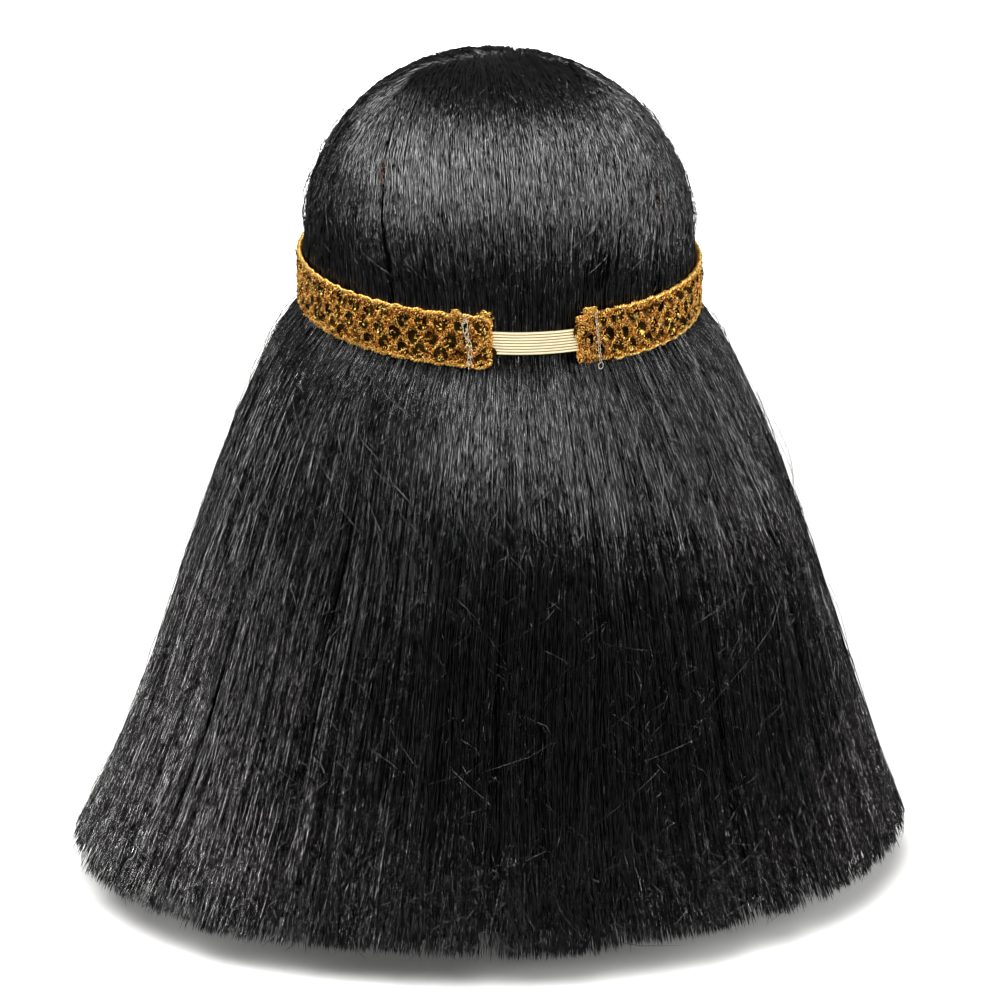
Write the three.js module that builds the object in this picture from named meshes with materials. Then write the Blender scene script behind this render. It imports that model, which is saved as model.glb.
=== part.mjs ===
// A long black bob wig with a gold sequin headband, as it sits on a head.
// Millimetres, +Z up. The origin is the point inside the cap that rests on the top of the head.
// The face opening looks along -Y, the back of the head along +Y, and the wearer's left is +X.
import * as THREE from "three";

// The head that the cap fits: an egg whose widest level lies `dome` below its top.
const HEAD = { halfWidth: 75.5, halfLength: 98, dome: 73 };
const CAP_WALL = 1.5;
const FIT_GAP = 0.3;
const CAP_CLEARANCE = 0.9;
const CROWN_HAIR = 9.6;
const WIDEST_Z = -HEAD.dome;
const HAIR_OFFSET = CAP_WALL + CAP_CLEARANCE + CROWN_HAIR;
const CROWN = {
  side: HEAD.halfWidth + HAIR_OFFSET,
  length: HEAD.halfLength + HAIR_OFFSET,
  top: HEAD.dome + HAIR_OFFSET,
};

// The sequin braid is worn level, just below the widest part of the head.
const BRAID = { width: 23, wall: 1.7, rowBulge: 0.5, edgeCord: 0.7, rows: 3, middleDrop: 16.4 };
const FOLD = { length: 9, turn: 1.2, round: 0.6, step: 1, rise: 12 };
const ELASTIC = { width: 10, wall: 0.9, cords: 8, ribDepth: 0.25, shown: 37 };

// Hair below the widest level. drop: how far below it; side, back and front: how far the outside
// lies from the head's axis; depth: thickness of the hair. The first two rows are the band's seat.
const HANGING = [
  { drop: 0, side: CROWN.side, back: CROWN.length, front: CROWN.length, depth: CROWN_HAIR },
  { drop: 28, side: CROWN.side, back: CROWN.length, front: CROWN.length, depth: CROWN_HAIR },
  { drop: 34, side: 93, back: 113, front: CROWN.length, depth: 11 },
  { drop: 46, side: 101.5, back: 119, front: CROWN.length, depth: 12 },
  { drop: 64, side: 110.2, back: 128, front: 107, depth: 12.6 },
  { drop: 84, side: 118.6, back: 138, front: 106, depth: 13 },
  { drop: 104, side: 126.5, back: 145.5, front: 105.5, depth: 13 },
  { drop: 136, side: 138.9, back: 147.5, front: 105, depth: 13 },
  { drop: 190, side: 157.4, back: 145.5, front: 105.3, depth: 13 },
  { drop: 250, side: 176.5, back: 143.5, front: 107.3, depth: 12.2 },
  { drop: 283, side: 187.5, back: 145.5, front: 109, depth: 11 },
];
const LENGTH = HANGING.at(-1).drop;
// On the wearer's left the ends flick further out.
const LEFT_FLICK = { from: 190, by: 7 };

// Hair is combed from a ridge across the top of the head. Turns are measured round the head from
// the middle of the back: the back panel reaches to `back` each way, the sides from there to `face`.
const RIDGE_SHARE = 0.36;
const CROWN_STEPS = 9;
// Where the hair starts on its way from the ridge, spread along it or gathered at one of its ends.
const ROOT_START = { spread: 0.002, gathered: 0.045 };
const PANEL_TURN = { back: 42, face: 128 };
const SEAM_GAP = 0.4;
// The back panel is sewn over the side panels, so it stands a little proud of them on the crown:
// fully between these shares of the way down, and level with them again at the band.
const PANEL_LIFT = { by: 1.2, fullFrom: 0.3, fullTo: 0.6 };
// Below the band the front edges swing forward, so that the hair frames the face.
const FACE_SWING = { from: 66, by: 20 };
const FRINGE_DROP = 41;

// Locks. share: part of the panel's width; groove: how deep the skin dips between locks; short: how
// far the lock ends above the longest hair.
const NOTCH = 2.5;
const LOCKS_FULL_DROP = 92;
const END_CUT_POWER = 4;
const BACK_LOCKS = [
  { share: 0.11, groove: 2.6, short: 5 },
  { share: 0.09, groove: 3.2, short: 2 },
  { share: 0.13, groove: 2.2, short: 0 },
  { share: 0.1, groove: 2.8, short: 1 },
  { share: 0.14, groove: 2.0, short: 0 },
  { share: 0.12, groove: 2.4, short: 2 },
  { share: 0.1, groove: 3.0, short: 1 },
  { share: 0.12, groove: 2.2, short: 3 },
  { share: 0.09, groove: 2.8, short: 6 },
];
const SIDE_LOCKS = [
  { share: 0.22, groove: 2.6, short: 6 },
  { share: 0.18, groove: 2.2, short: 3 },
  { share: 0.24, groove: 2.8, short: 4 },
  { share: 0.19, groove: 2.4, short: 2 },
  { share: 0.17, groove: 2.0, short: 5 },
];
const FRINGE_LOCKS = [
  { share: 0.18, groove: 1.4, short: 0 },
  { share: 0.15, groove: 1.6, short: 1 },
  { share: 0.17, groove: 1.2, short: 0 },
  { share: 0.17, groove: 1.2, short: 0 },
  { share: 0.15, groove: 1.6, short: 1 },
  { share: 0.18, groove: 1.4, short: 0 },
];
const COLUMNS_PER_LOCK = 4;

// The cap's edge, as the angle down from the top of the head: high at the forehead, low at the nape.
const CAP_EDGE = { nape: 128, ear: 100, brow: 62 };
const CAP_GRID = { round: 36, down: 8 };

const toRadians = THREE.MathUtils.degToRad;
const mix = THREE.MathUtils.lerp;
const ease = THREE.MathUtils.smoothstep;

// Sizes of the hanging hair at a drop, on a smooth curve through the table's rows.
const hangingCurve = new THREE.CubicInterpolant(
  HANGING.map((row) => row.drop),
  HANGING.flatMap((row) => [row.side, row.back, row.front, row.depth]),
  4,
);
function hangingAt(drop) {
  const [side, back, front, depth] = hangingCurve.evaluate(drop);
  return { side, back, front, depth };
}

// A straight-line reading of a table between its rows.
function tableAt(rows, key, value, at) {
  const next = rows.findIndex((row) => row[key] >= at);
  if (next === -1) return rows.at(-1)[value];
  if (next === 0) return rows[0][value];
  const [low, high] = [rows[next - 1], rows[next]];
  return mix(low[value], high[value], (at - low[key]) / (high[key] - low[key]));
}

// Where on the ridge the hair at a turn is rooted, from -1 to 1 along it.
function ridgePlace(turn) {
  const around = Math.abs(turn);
  const sideways = Math.sign(turn);
  if (around <= PANEL_TURN.back) return turn / PANEL_TURN.back;
  if (around <= PANEL_TURN.face) return sideways;
  return (sideways * (180 - around)) / (180 - PANEL_TURN.face);
}

// The way over the head from one direction to another, at the same rate all along.
function sweep(from, to, share) {
  const angle = from.angleTo(to);
  return from
    .clone()
    .multiplyScalar(Math.sin((1 - share) * angle))
    .addScaledVector(to, Math.sin(share * angle))
    .divideScalar(Math.sin(angle));
}

// A point of the crown's hair, `inset` below its skin: share 0 is the ridge, 1 the widest level.
function crownPoint(turn, share, inset) {
  const angle = toRadians(turn);
  const across = RIDGE_SHARE * ridgePlace(turn);
  const root = new THREE.Vector3(across, 0, Math.sqrt(1 - across * across));
  const foot = new THREE.Vector3(Math.sin(angle), Math.cos(angle), 0);
  const way = sweep(root, foot, share);
  return new THREE.Vector3(
    way.x * (CROWN.side - inset),
    way.y * (CROWN.length - inset),
    WIDEST_Z + way.z * (CROWN.top - inset),
  );
}

// A point of the hanging hair, `inset` below its skin.
function hangingPoint(turn, drop, inset) {
  const { side, back, front } = hangingAt(drop);
  const swing = FACE_SWING.by * ease(Math.abs(turn), FACE_SWING.from, PANEL_TURN.face);
  const swung = turn + Math.sign(turn) * swing * ease(drop, FRINGE_DROP, LENGTH);
  const angle = toRadians(Math.abs(turn) > PANEL_TURN.face ? turn : swung);
  const length = Math.cos(angle) > 0 ? back : front;
  const leftward = Math.max(0, Math.sin(angle)) ** 2;
  const flick = LEFT_FLICK.by * leftward * ease(drop, LEFT_FLICK.from, LENGTH);
  return new THREE.Vector3(
    (side + flick - inset) * Math.sin(angle),
    (length - inset) * Math.cos(angle),
    WIDEST_Z - drop,
  );
}

// A triangle list that leaves out faces with no area, such as those at a pole.
class Skin {
  points = [];
  triangle(a, b, c) {
    const area = b.clone().sub(a).cross(c.clone().sub(a)).length();
    if (area > 1e-6) this.points.push(a, b, c);
  }
  quad(a, b, c, d) {
    this.triangle(a, b, c);
    this.triangle(a, c, d);
  }
  geometry() {
    const made = new THREE.BufferGeometry().setFromPoints(this.points);
    made.computeVertexNormals();
    return made;
  }
}

// A closed wall between an outer and an inner grid of points, indexed [across][along].
// A round wall joins its last column to its first.
function wall(outer, inner, round = false) {
  const skin = new Skin();
  const last = outer.length - 1;
  const end = outer[0].length - 1;
  for (let i = 0; i < (round ? last + 1 : last); i++) {
    const next = (i + 1) % (last + 1);
    for (let j = 0; j < end; j++) {
      skin.quad(outer[i][j], outer[next][j], outer[next][j + 1], outer[i][j + 1]);
      skin.quad(inner[i][j], inner[i][j + 1], inner[next][j + 1], inner[next][j]);
    }
    skin.quad(outer[i][0], inner[i][0], inner[next][0], outer[next][0]);
    skin.quad(outer[i][end], outer[next][end], inner[next][end], inner[i][end]);
  }
  for (let j = 0; j < end && !round; j++) {
    skin.quad(outer[0][j], outer[0][j + 1], inner[0][j + 1], inner[0][j]);
    skin.quad(outer[last][j], inner[last][j], inner[last][j + 1], outer[last][j + 1]);
  }
  return skin.geometry();
}

// Draws the first and last columns of a grid in by half a seam, so that neighbours stay apart.
function trimSeams(grid) {
  const last = grid.length - 1;
  for (const [edge, next] of [[0, 1], [last, last - 1]]) {
    grid[edge] = grid[edge].map((point, j) => {
      const inward = grid[next][j].clone().sub(point);
      return point.clone().addScaledVector(inward.normalize(), SEAM_GAP / 2);
    });
  }
  return grid;
}

// The columns of a panel of locks: where each lies, how far its skin dips, and how short its end is.
function lockColumns(locks, fromTurn, toTurn) {
  const columns = [];
  const total = locks.reduce((sum, lock) => sum + lock.share, 0);
  let begun = 0;
  locks.forEach((lock, index) => {
    const steps = index === locks.length - 1 ? COLUMNS_PER_LOCK + 1 : COLUMNS_PER_LOCK;
    for (let step = 0; step < steps; step++) {
      const place = step / COLUMNS_PER_LOCK;
      const dip = (2 * place - 1) ** 2;
      const share = (begun + lock.share * place) / total;
      const edge = step % COLUMNS_PER_LOCK === 0;
      columns.push({
        turn: mix(fromTurn, toTurn, share),
        groove: lock.groove * dip,
        short: lock.short + (edge ? NOTCH : 0),
      });
    }
    begun += lock.share;
  });
  return columns;
}

// The levels of a panel: shares over the crown, then drops of the hanging hair down to its end.
function panelLevels(rootStart, longest) {
  const steps = Array.from({ length: CROWN_STEPS + 1 }, (_, step) => step / CROWN_STEPS);
  const drops = HANGING.map((row) => row.drop).filter((drop) => drop > 0 && drop < longest);
  return [
    ...steps.map((step) => ({ share: mix(rootStart, 1, step) })),
    ...[...drops, longest].map((drop) => ({ drop })),
  ];
}

// A panel of hair from the ridge to its cut end. Locks show below the band, where the hair is free.
function hairPanel({ locks, from, to, rootStart, longest = LENGTH, lifted = false }) {
  const columns = lockColumns(locks, from, to);
  const levels = panelLevels(rootStart, longest);
  const seatFoot = HANGING[1].drop;
  const skinAt = (column, level, inner) => {
    if (level.drop === undefined) {
      const { by, fullFrom, fullTo } = PANEL_LIFT;
      const lift = by * ease(level.share, 0, fullFrom) * (1 - ease(level.share, fullTo, 1));
      return crownPoint(column.turn, level.share, inner ? CROWN_HAIR : -lift * lifted);
    }
    const free = ease(level.drop, seatFoot, LOCKS_FULL_DROP);
    const cut = column.short * (level.drop / longest) ** END_CUT_POWER;
    const inset = inner ? hangingAt(level.drop).depth : column.groove * free;
    return hangingPoint(column.turn, level.drop - cut, inset);
  };
  const grid = (inner) => columns.map((column) => levels.map((level) => skinAt(column, level, inner)));
  return wall(trimSeams(grid(false)), trimSeams(grid(true)));
}

// The stretch cap: an egg-shaped shell, open at the face and the neck.
function capGeometry() {
  const edgeAngle = (turn) => {
    const back = Math.cos(toRadians(turn));
    return back > 0
      ? mix(CAP_EDGE.ear, CAP_EDGE.nape, back * back)
      : mix(CAP_EDGE.ear, CAP_EDGE.brow, back * back);
  };
  const grid = (grow) =>
    Array.from({ length: CAP_GRID.round }, (_, i) => {
      const turn = (360 * i) / CAP_GRID.round;
      return Array.from({ length: CAP_GRID.down + 1 }, (_, j) => {
        const down = toRadians(edgeAngle(turn) * (j / CAP_GRID.down));
        return new THREE.Vector3(
          (HEAD.halfWidth + grow) * Math.sin(down) * Math.sin(toRadians(turn)),
          (HEAD.halfLength + grow) * Math.sin(down) * Math.cos(toRadians(turn)),
          WIDEST_Z + (HEAD.dome + grow) * Math.cos(down),
        );
      });
    });
  return wall(grid(CAP_WALL), grid(0), true);
}

// The band's seat on the hair, as the length round it from the middle of the back to each turn.
const SEAT = [{ turn: 0, length: 0 }];
for (let turn = 1; turn <= 180; turn++) {
  const [from, to] = [turn - 1, turn].map((at) => bandPlace(at, 0, 0));
  SEAT.push({ turn, length: SEAT.at(-1).length + from.distanceTo(to) });
}
const HALF_SEAT = SEAT.at(-1).length;

// A place on the band: a turn round the head, `rise` above the band's middle, `out` from the hair.
function bandPlace(turn, rise, out) {
  return new THREE.Vector3(
    (CROWN.side + out) * Math.sin(toRadians(turn)),
    (CROWN.length + out) * Math.cos(toRadians(turn)),
    WIDEST_Z - BRAID.middleDrop + rise,
  );
}

// The same, by its length from the middle of the back (negative to the wearer's right).
function bandPoint(length, rise, out) {
  const turn = tableAt(SEAT, "length", "turn", Math.abs(length));
  return bandPlace(Math.sign(length) * turn, rise, out);
}

// The braid runs round the front from one folded end to the other. Its raw ends are turned under,
// and lie over the elastic, so the table gives its inside and thickness by the way from the end.
const ELASTIC_OUT = FIT_GAP + ELASTIC.wall;
const FOLD_SEAT = ELASTIC_OUT + FIT_GAP;
const BRAID_END = [
  { way: 0, inside: FOLD_SEAT + FOLD.round, wall: 2 * (BRAID.wall - FOLD.round) },
  { way: FOLD.turn, inside: FOLD_SEAT, wall: 2 * BRAID.wall },
  { way: FOLD.length, inside: FOLD_SEAT, wall: 2 * BRAID.wall },
  { way: FOLD.length + FOLD.step, inside: FOLD_SEAT, wall: BRAID.wall },
  { way: FOLD.length + FOLD.rise, inside: FIT_GAP, wall: BRAID.wall },
];
const BRAID_STEPS = 46;
const BRAID_ROW_STEPS = 8;

function braidGeometry() {
  const endLength = ELASTIC.shown / 2;
  const span = 2 * (HALF_SEAT - endLength);
  const firstRun = BRAID_END.at(-1).way;
  const ends = BRAID_END.map((row) => row.way);
  const middle = Array.from(
    { length: BRAID_STEPS - 1 },
    (_, i) => mix(firstRun, span - firstRun, (i + 1) / BRAID_STEPS),
  );
  const ways = [...ends, ...middle, ...ends.map((way) => span - way).reverse()];
  // Three rows of sequins stand up between a corded edge at each side.
  const relief = (share) => {
    const edge = share === 0 || share === 1;
    return edge ? BRAID.edgeCord : BRAID.rowBulge * Math.abs(Math.sin(BRAID.rows * Math.PI * share));
  };
  const grid = (inner) =>
    ways.map((way) => {
      const fromEnd = Math.min(way, span - way);
      const round = endLength + way;
      const length = round > HALF_SEAT ? round - 2 * HALF_SEAT : round;
      const inside = tableAt(BRAID_END, "way", "inside", fromEnd);
      const thick = tableAt(BRAID_END, "way", "wall", fromEnd);
      return Array.from({ length: BRAID_ROW_STEPS + 1 }, (_, row) => {
        const share = row / BRAID_ROW_STEPS;
        const out = inner ? inside : inside + thick + relief(share);
        return bandPoint(length, BRAID.width * (0.5 - share), out);
      });
    });
  return wall(grid(false), grid(true));
}

// The flat elastic, with its cords as ribs, sewn under both ends of the braid.
const ELASTIC_STEPS = 10;
function elasticGeometry() {
  const half = ELASTIC.shown / 2 + FOLD.length;
  const rows = 2 * ELASTIC.cords;
  const grid = (inner) =>
    Array.from({ length: ELASTIC_STEPS + 1 }, (_, i) => {
      const length = mix(-half, half, i / ELASTIC_STEPS);
      return Array.from({ length: rows + 1 }, (_, row) => {
        const valley = row % 2 === 0 ? ELASTIC.ribDepth : 0;
        const out = inner ? FIT_GAP : ELASTIC_OUT - valley;
        return bandPoint(length, ELASTIC.width * (0.5 - row / rows), out);
      });
    });
  return wall(grid(false), grid(true));
}

const hair = new THREE.MeshStandardMaterial({ color: 0x131315, roughness: 0.4, metalness: 0 });
const net = new THREE.MeshStandardMaterial({ color: 0x1a1816, roughness: 0.9, metalness: 0 });
const sequins = new THREE.MeshStandardMaterial({ color: 0xc98a1e, roughness: 0.3, metalness: 0.8 });
const rubber = new THREE.MeshStandardMaterial({ color: 0xefdfbd, roughness: 0.7, metalness: 0 });

const { back: BACK, face: FACE } = PANEL_TURN;
const { spread, gathered } = ROOT_START;
const panels = {
  back_hair: { locks: BACK_LOCKS, from: -BACK, to: BACK, rootStart: spread, lifted: true },
  left_hair: { locks: SIDE_LOCKS, from: BACK, to: FACE, rootStart: gathered },
  right_hair: { locks: [...SIDE_LOCKS].reverse(), from: -FACE, to: -BACK, rootStart: gathered },
  fringe: { locks: FRINGE_LOCKS, from: FACE, to: 360 - FACE, rootStart: spread, longest: FRINGE_DROP },
};
const pieces = [
  ["wig_cap", capGeometry(), net],
  ...Object.entries(panels).map(([name, panel]) => [name, hairPanel(panel), hair]),
  ["headband_braid", braidGeometry(), sequins],
  ["headband_elastic", elasticGeometry(), rubber],
];

const wig = new THREE.Group();
for (const [name, geometry, material] of pieces) {
  const piece = new THREE.Mesh(geometry, material);
  piece.name = name;
  wig.add(piece);
}

export default wig;
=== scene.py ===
import math

import bmesh
import bpy
import numpy as np
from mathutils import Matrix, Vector


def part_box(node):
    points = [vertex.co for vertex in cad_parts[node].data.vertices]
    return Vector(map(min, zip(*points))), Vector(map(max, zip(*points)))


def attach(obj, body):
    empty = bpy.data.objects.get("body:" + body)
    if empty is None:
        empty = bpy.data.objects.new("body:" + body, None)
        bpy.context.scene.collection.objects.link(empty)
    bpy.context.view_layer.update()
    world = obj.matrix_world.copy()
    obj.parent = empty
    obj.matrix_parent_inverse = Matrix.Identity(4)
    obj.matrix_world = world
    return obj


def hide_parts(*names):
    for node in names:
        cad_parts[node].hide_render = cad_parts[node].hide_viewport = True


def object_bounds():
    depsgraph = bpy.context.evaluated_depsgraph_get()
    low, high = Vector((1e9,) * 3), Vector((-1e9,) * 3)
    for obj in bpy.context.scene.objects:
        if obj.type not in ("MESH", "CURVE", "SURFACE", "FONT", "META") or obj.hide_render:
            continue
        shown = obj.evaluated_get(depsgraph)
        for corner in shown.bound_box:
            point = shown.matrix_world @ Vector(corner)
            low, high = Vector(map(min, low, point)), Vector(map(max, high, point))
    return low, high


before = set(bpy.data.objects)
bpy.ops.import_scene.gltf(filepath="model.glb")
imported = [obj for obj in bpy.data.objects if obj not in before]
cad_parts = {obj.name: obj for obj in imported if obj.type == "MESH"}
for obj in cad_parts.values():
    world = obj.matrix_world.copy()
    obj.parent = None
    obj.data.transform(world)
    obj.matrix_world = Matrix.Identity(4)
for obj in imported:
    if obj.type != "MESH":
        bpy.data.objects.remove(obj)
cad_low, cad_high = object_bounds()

# Wig cap
# A stretch cap of black elastic wefting, sewn in rows round the head and bound at its edge.
# The hair is machine-sewn to the rows, so only its inside shows, at the face and from below.
MM = 0.001
CAP_WALL = 1.5 * MM
CAP_DOME = 73 * MM
CAP_ROW_PITCH = 11 * MM
CAP_ROW_RISE = 0.7 * MM
CAP_BINDING = {"width": 9 * MM, "stands": 0.6 * MM}
CAP_GRID = {"round": 72, "down": 54}
cap_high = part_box("wig_cap")[1]
WIDEST_Z = cap_high.z - CAP_WALL - CAP_DOME


def linear(hex_colour):
    """An sRGB hex colour as linear red, green, blue and alpha."""
    parts = [int(hex_colour[i : i + 2], 16) / 255 for i in (1, 3, 5)]
    return [p / 12.92 if p <= 0.04045 else ((p + 0.055) / 1.055) ** 2.4 for p in parts] + [1.0]


def new_material(name, **settings):
    """A material with a Principled shader, whose sockets take the settings."""
    material = bpy.data.materials.new(name)
    material.use_nodes = True
    shader = material.node_tree.nodes["Principled BSDF"]
    for key, value in settings.items():
        shader.inputs[key.replace("_", " ")].default_value = value
    return material, shader


def add_node(material, kind, inputs=None, stops=(), **settings):
    """Adds a node, sets what it is given, and links the inputs that are another node's output. The stops of
    a colour ramp are places from 0 to 1 with hex colours."""
    made = material.node_tree.nodes.new("ShaderNode" + kind)
    for key, value in settings.items():
        setattr(made, key, value)
    for key, value in (inputs or {}).items():
        if isinstance(value, bpy.types.NodeSocket):
            material.node_tree.links.new(value, made.inputs[key])
        else:
            made.inputs[key].default_value = value
    if stops:
        elements = made.color_ramp.elements
        for extra in stops[2:]:
            elements.new(0.5)
        for element, (place, hex_colour) in zip(elements, stops):
            element.position = place
            element.color = linear(hex_colour)
    return made


def add_piece(name, mesh, material, slot, *nodes):
    """Puts a mesh in the scene as a piece of the object that stands for the given CAD nodes."""
    piece = bpy.data.objects.new(name, mesh)
    bpy.context.scene.collection.objects.link(piece)
    mesh.materials.clear()
    mesh.materials.append(material)
    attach(piece, "root")
    if nodes:
        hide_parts(*nodes)
    return piece


def mesh_of(bm, name, smooth=True):
    """Turns a finished bmesh into a mesh."""
    for face in bm.faces:
        face.smooth = smooth
    mesh = bpy.data.meshes.new(name)
    bm.to_mesh(mesh)
    bm.free()
    return mesh


def thicken(sheet, wall):
    """Gives an open sheet round the head a wall, inwards from its outer side."""
    sheet.normal_update()
    middles = [face.calc_center_median() for face in sheet.faces]
    facing = sum(f.normal.x * m.x + f.normal.y * m.y for f, m in zip(sheet.faces, middles))
    if facing < 0:
        bmesh.ops.reverse_faces(sheet, faces=sheet.faces)
        sheet.normal_update()
    bmesh.ops.solidify(sheet, geom=sheet.faces[:], thickness=wall)


# The cap's cut runs straight from the brow to the nape.
CAP_BROW = Vector((0, -86.5 * MM, WIDEST_Z + 34 * MM))
CAP_NAPE = Vector((0, 77 * MM, WIDEST_Z - 45 * MM))


def cap_shell(grow):
    """An egg-shaped shell round the head, cut at the cap's edge, and the way up from that cut."""
    shell = bmesh.new()
    bmesh.ops.create_uvsphere(shell, u_segments=CAP_GRID["round"], v_segments=CAP_GRID["down"], radius=1.0)
    size = (cap_high.x - CAP_WALL + grow, cap_high.y - CAP_WALL + grow, CAP_DOME + grow)
    bmesh.ops.scale(shell, vec=size, verts=shell.verts)
    bmesh.ops.translate(shell, vec=(0, 0, WIDEST_Z), verts=shell.verts)
    slope = CAP_NAPE - CAP_BROW
    upward = Vector((0, -slope.z, slope.y)).normalized()
    everything = shell.verts[:] + shell.edges[:] + shell.faces[:]
    bmesh.ops.bisect_plane(shell, geom=everything, plane_co=CAP_NAPE, plane_no=upward, clear_inner=True)
    return shell, upward


wefting, cap_up = cap_shell(CAP_WALL - CAP_ROW_RISE)
for vert in wefting.verts:
    outward = (vert.co - Vector((0, 0, WIDEST_Z))).normalized()
    vert.co += outward * CAP_ROW_RISE * 0.5 * math.cos(2 * math.pi * vert.co.z / CAP_ROW_PITCH)
thicken(wefting, CAP_WALL - CAP_ROW_RISE)

binding, cap_up = cap_shell(CAP_WALL + CAP_BINDING["stands"] / 2)
everything = binding.verts[:] + binding.edges[:] + binding.faces[:]
binding_top = CAP_NAPE + cap_up * CAP_BINDING["width"]
bmesh.ops.bisect_plane(binding, geom=everything, plane_co=binding_top, plane_no=cap_up, clear_outer=True)
thicken(binding, CAP_WALL + CAP_BINDING["stands"])

# Knitted nylon elastic: matt and near black, a little brown where it is stretched thin, with fine ribs.
NET_RIB = 1.6 * MM
NET_RIB_RISE = 0.4 * MM
NET_PATCH = 3 * MM
net, net_shader = new_material("black knitted elastic wefting", Roughness=0.85)
net_place = add_node(net, "TexCoord").outputs["Object"]
net_ribs = add_node(
    net,
    "TexWave",
    {"Vector": net_place, "Scale": 1 / (2 * math.pi * NET_RIB), "Distortion": 1.5, "Detail": 1.0},
    bands_direction="Z",
).outputs["Fac"]
net_noise = add_node(net, "TexNoise", {"Vector": net_place, "Scale": 1 / NET_PATCH}).outputs["Fac"]
net_stops = [(0.3, "#0d0c0c"), (0.62, "#1c1917"), (0.8, "#2b231d")]
net_colour = add_node(net, "ValToRGB", {"Fac": net_noise}, net_stops).outputs["Color"]
net_bump = add_node(net, "Bump", {"Height": net_ribs, "Strength": 0.5, "Distance": NET_RIB_RISE})
net.node_tree.links.new(net_colour, net_shader.inputs["Base Color"])
net.node_tree.links.new(net_bump.outputs["Normal"], net_shader.inputs["Normal"])
add_piece("wig_cap_wefting", mesh_of(wefting, "wig_cap_wefting"), net, "cap_net", "wig_cap")
add_piece("wig_cap_binding", mesh_of(binding, "wig_cap_binding"), net, "cap_net")

# Back hair
# Straight black synthetic fibre in rows of weft, combed over the crown and down the back, cut level.
# A tube stands for a few fibres that cling together, because single ones are too fine to show.
CROWN_HAIR = 9.6 * MM
HAIR_OFFSET = 12 * MM
CROWN = np.array([cap_high.x, cap_high.y, CAP_DOME + CAP_WALL]) - CAP_WALL + HAIR_OFFSET
# The roots lie along a ridge over the crown, and run back past it by a share of the crown's arc. Turns are
# degrees round the head from the middle of the back.
CROWN_ARC = 130 * MM
RIDGE_SHARE = 0.36
ROOT_TUCK = 0.06
BACK_TURN = 42
FACE_TURN = 128
FACE_SWING = {"from": 84, "by": 20, "start": 41 * MM}
LEFT_FLICK = {"from": 190 * MM, "by": 7 * MM}
# Below the widest level: the drop, how far the hair's skin lies out at the side, the back and the
# front, and how thick the hair is, in millimetres.
HANGING = MM * np.array(
    [
        (0, 87.5, 110, 110, 9.6),
        (28, 87.5, 110, 110, 9.6),
        (34, 93, 113, 110, 11),
        (46, 101.5, 119, 110, 12),
        (64, 110.2, 128, 107, 12.6),
        (84, 118.6, 138, 106, 13),
        (104, 126.5, 145.5, 105.5, 13),
        (136, 138.9, 147.5, 105, 13),
        (190, 157.4, 145.5, 105.3, 13),
        (250, 176.5, 143.5, 107.3, 12.2),
        (283, 187.5, 145.5, 109, 11),
    ]
)
HAIR_LENGTH = HANGING[-1, 0]


def eased(value, low, high):
    """A smooth step from 0 at low to 1 at high."""
    t = np.clip((value - low) / (high - low), 0, 1)
    return t * t * (3 - 2 * t)


def between(value, rise, fade):
    """Rises smoothly from 0 to 1 over one stretch, and falls back to 0 over another."""
    return eased(value, *rise) * (1 - eased(value, *fade))


def hair_depth(reach):
    """How thick the hair is at a reach."""
    return np.interp(reach, HANGING[:, 0], HANGING[:, 4])


def hair_points(turn, reach, inset):
    """Points in combed hair. turn: degrees round the head from the middle of the back, positive on the
    left side. reach: metres along the hair, under 0 on the crown. inset: depth under its skin."""
    turn, reach, inset = np.broadcast_arrays((np.asarray(turn) + 180) % 360 - 180, reach, inset)
    around = np.abs(turn)
    sideways = np.sign(turn)
    along_ridge = np.select(
        [around <= BACK_TURN, around <= FACE_TURN],
        [turn / BACK_TURN, sideways],
        sideways * (180 - around) / (180 - FACE_TURN),
    )
    ridge_x = RIDGE_SHARE * along_ridge
    angle = np.radians(turn)
    root = np.stack([ridge_x, 0 * ridge_x, np.sqrt(1 - ridge_x**2)], -1)
    foot = np.stack([np.sin(angle), np.cos(angle), 0 * angle], -1)
    share = np.clip(1 + reach / CROWN_ARC, -ROOT_TUCK, 1)[..., None]
    apart = np.arccos(np.sum(root * foot, -1))[..., None]
    way = (np.sin((1 - share) * apart) * root + np.sin(share * apart) * foot) / np.sin(apart)
    crown = way * (CROWN - inset[..., None]) + [0, 0, WIDEST_Z]

    drop = np.maximum(reach, 0)
    side, back, front = (np.interp(drop, HANGING[:, 0], HANGING[:, k]) for k in (1, 2, 3))
    swing = FACE_SWING["by"] * eased(around, FACE_SWING["from"], FACE_TURN)
    swing = np.where(around > FACE_TURN, 0, swing) * eased(drop, FACE_SWING["start"], HAIR_LENGTH)
    angle = np.radians(turn + sideways * swing)
    flick = LEFT_FLICK["by"] * eased(drop, LEFT_FLICK["from"], HAIR_LENGTH)
    side = side + flick * np.maximum(np.sin(angle), 0) ** 2
    length = np.where(np.cos(angle) > 0, back, front)
    across = (side - inset) * np.sin(angle)
    lengthways = (length - inset) * np.cos(angle)
    hanging = np.stack([across, lengthways, WIDEST_Z - drop], -1)
    return np.where((reach < 0)[..., None], crown, hanging)


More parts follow.
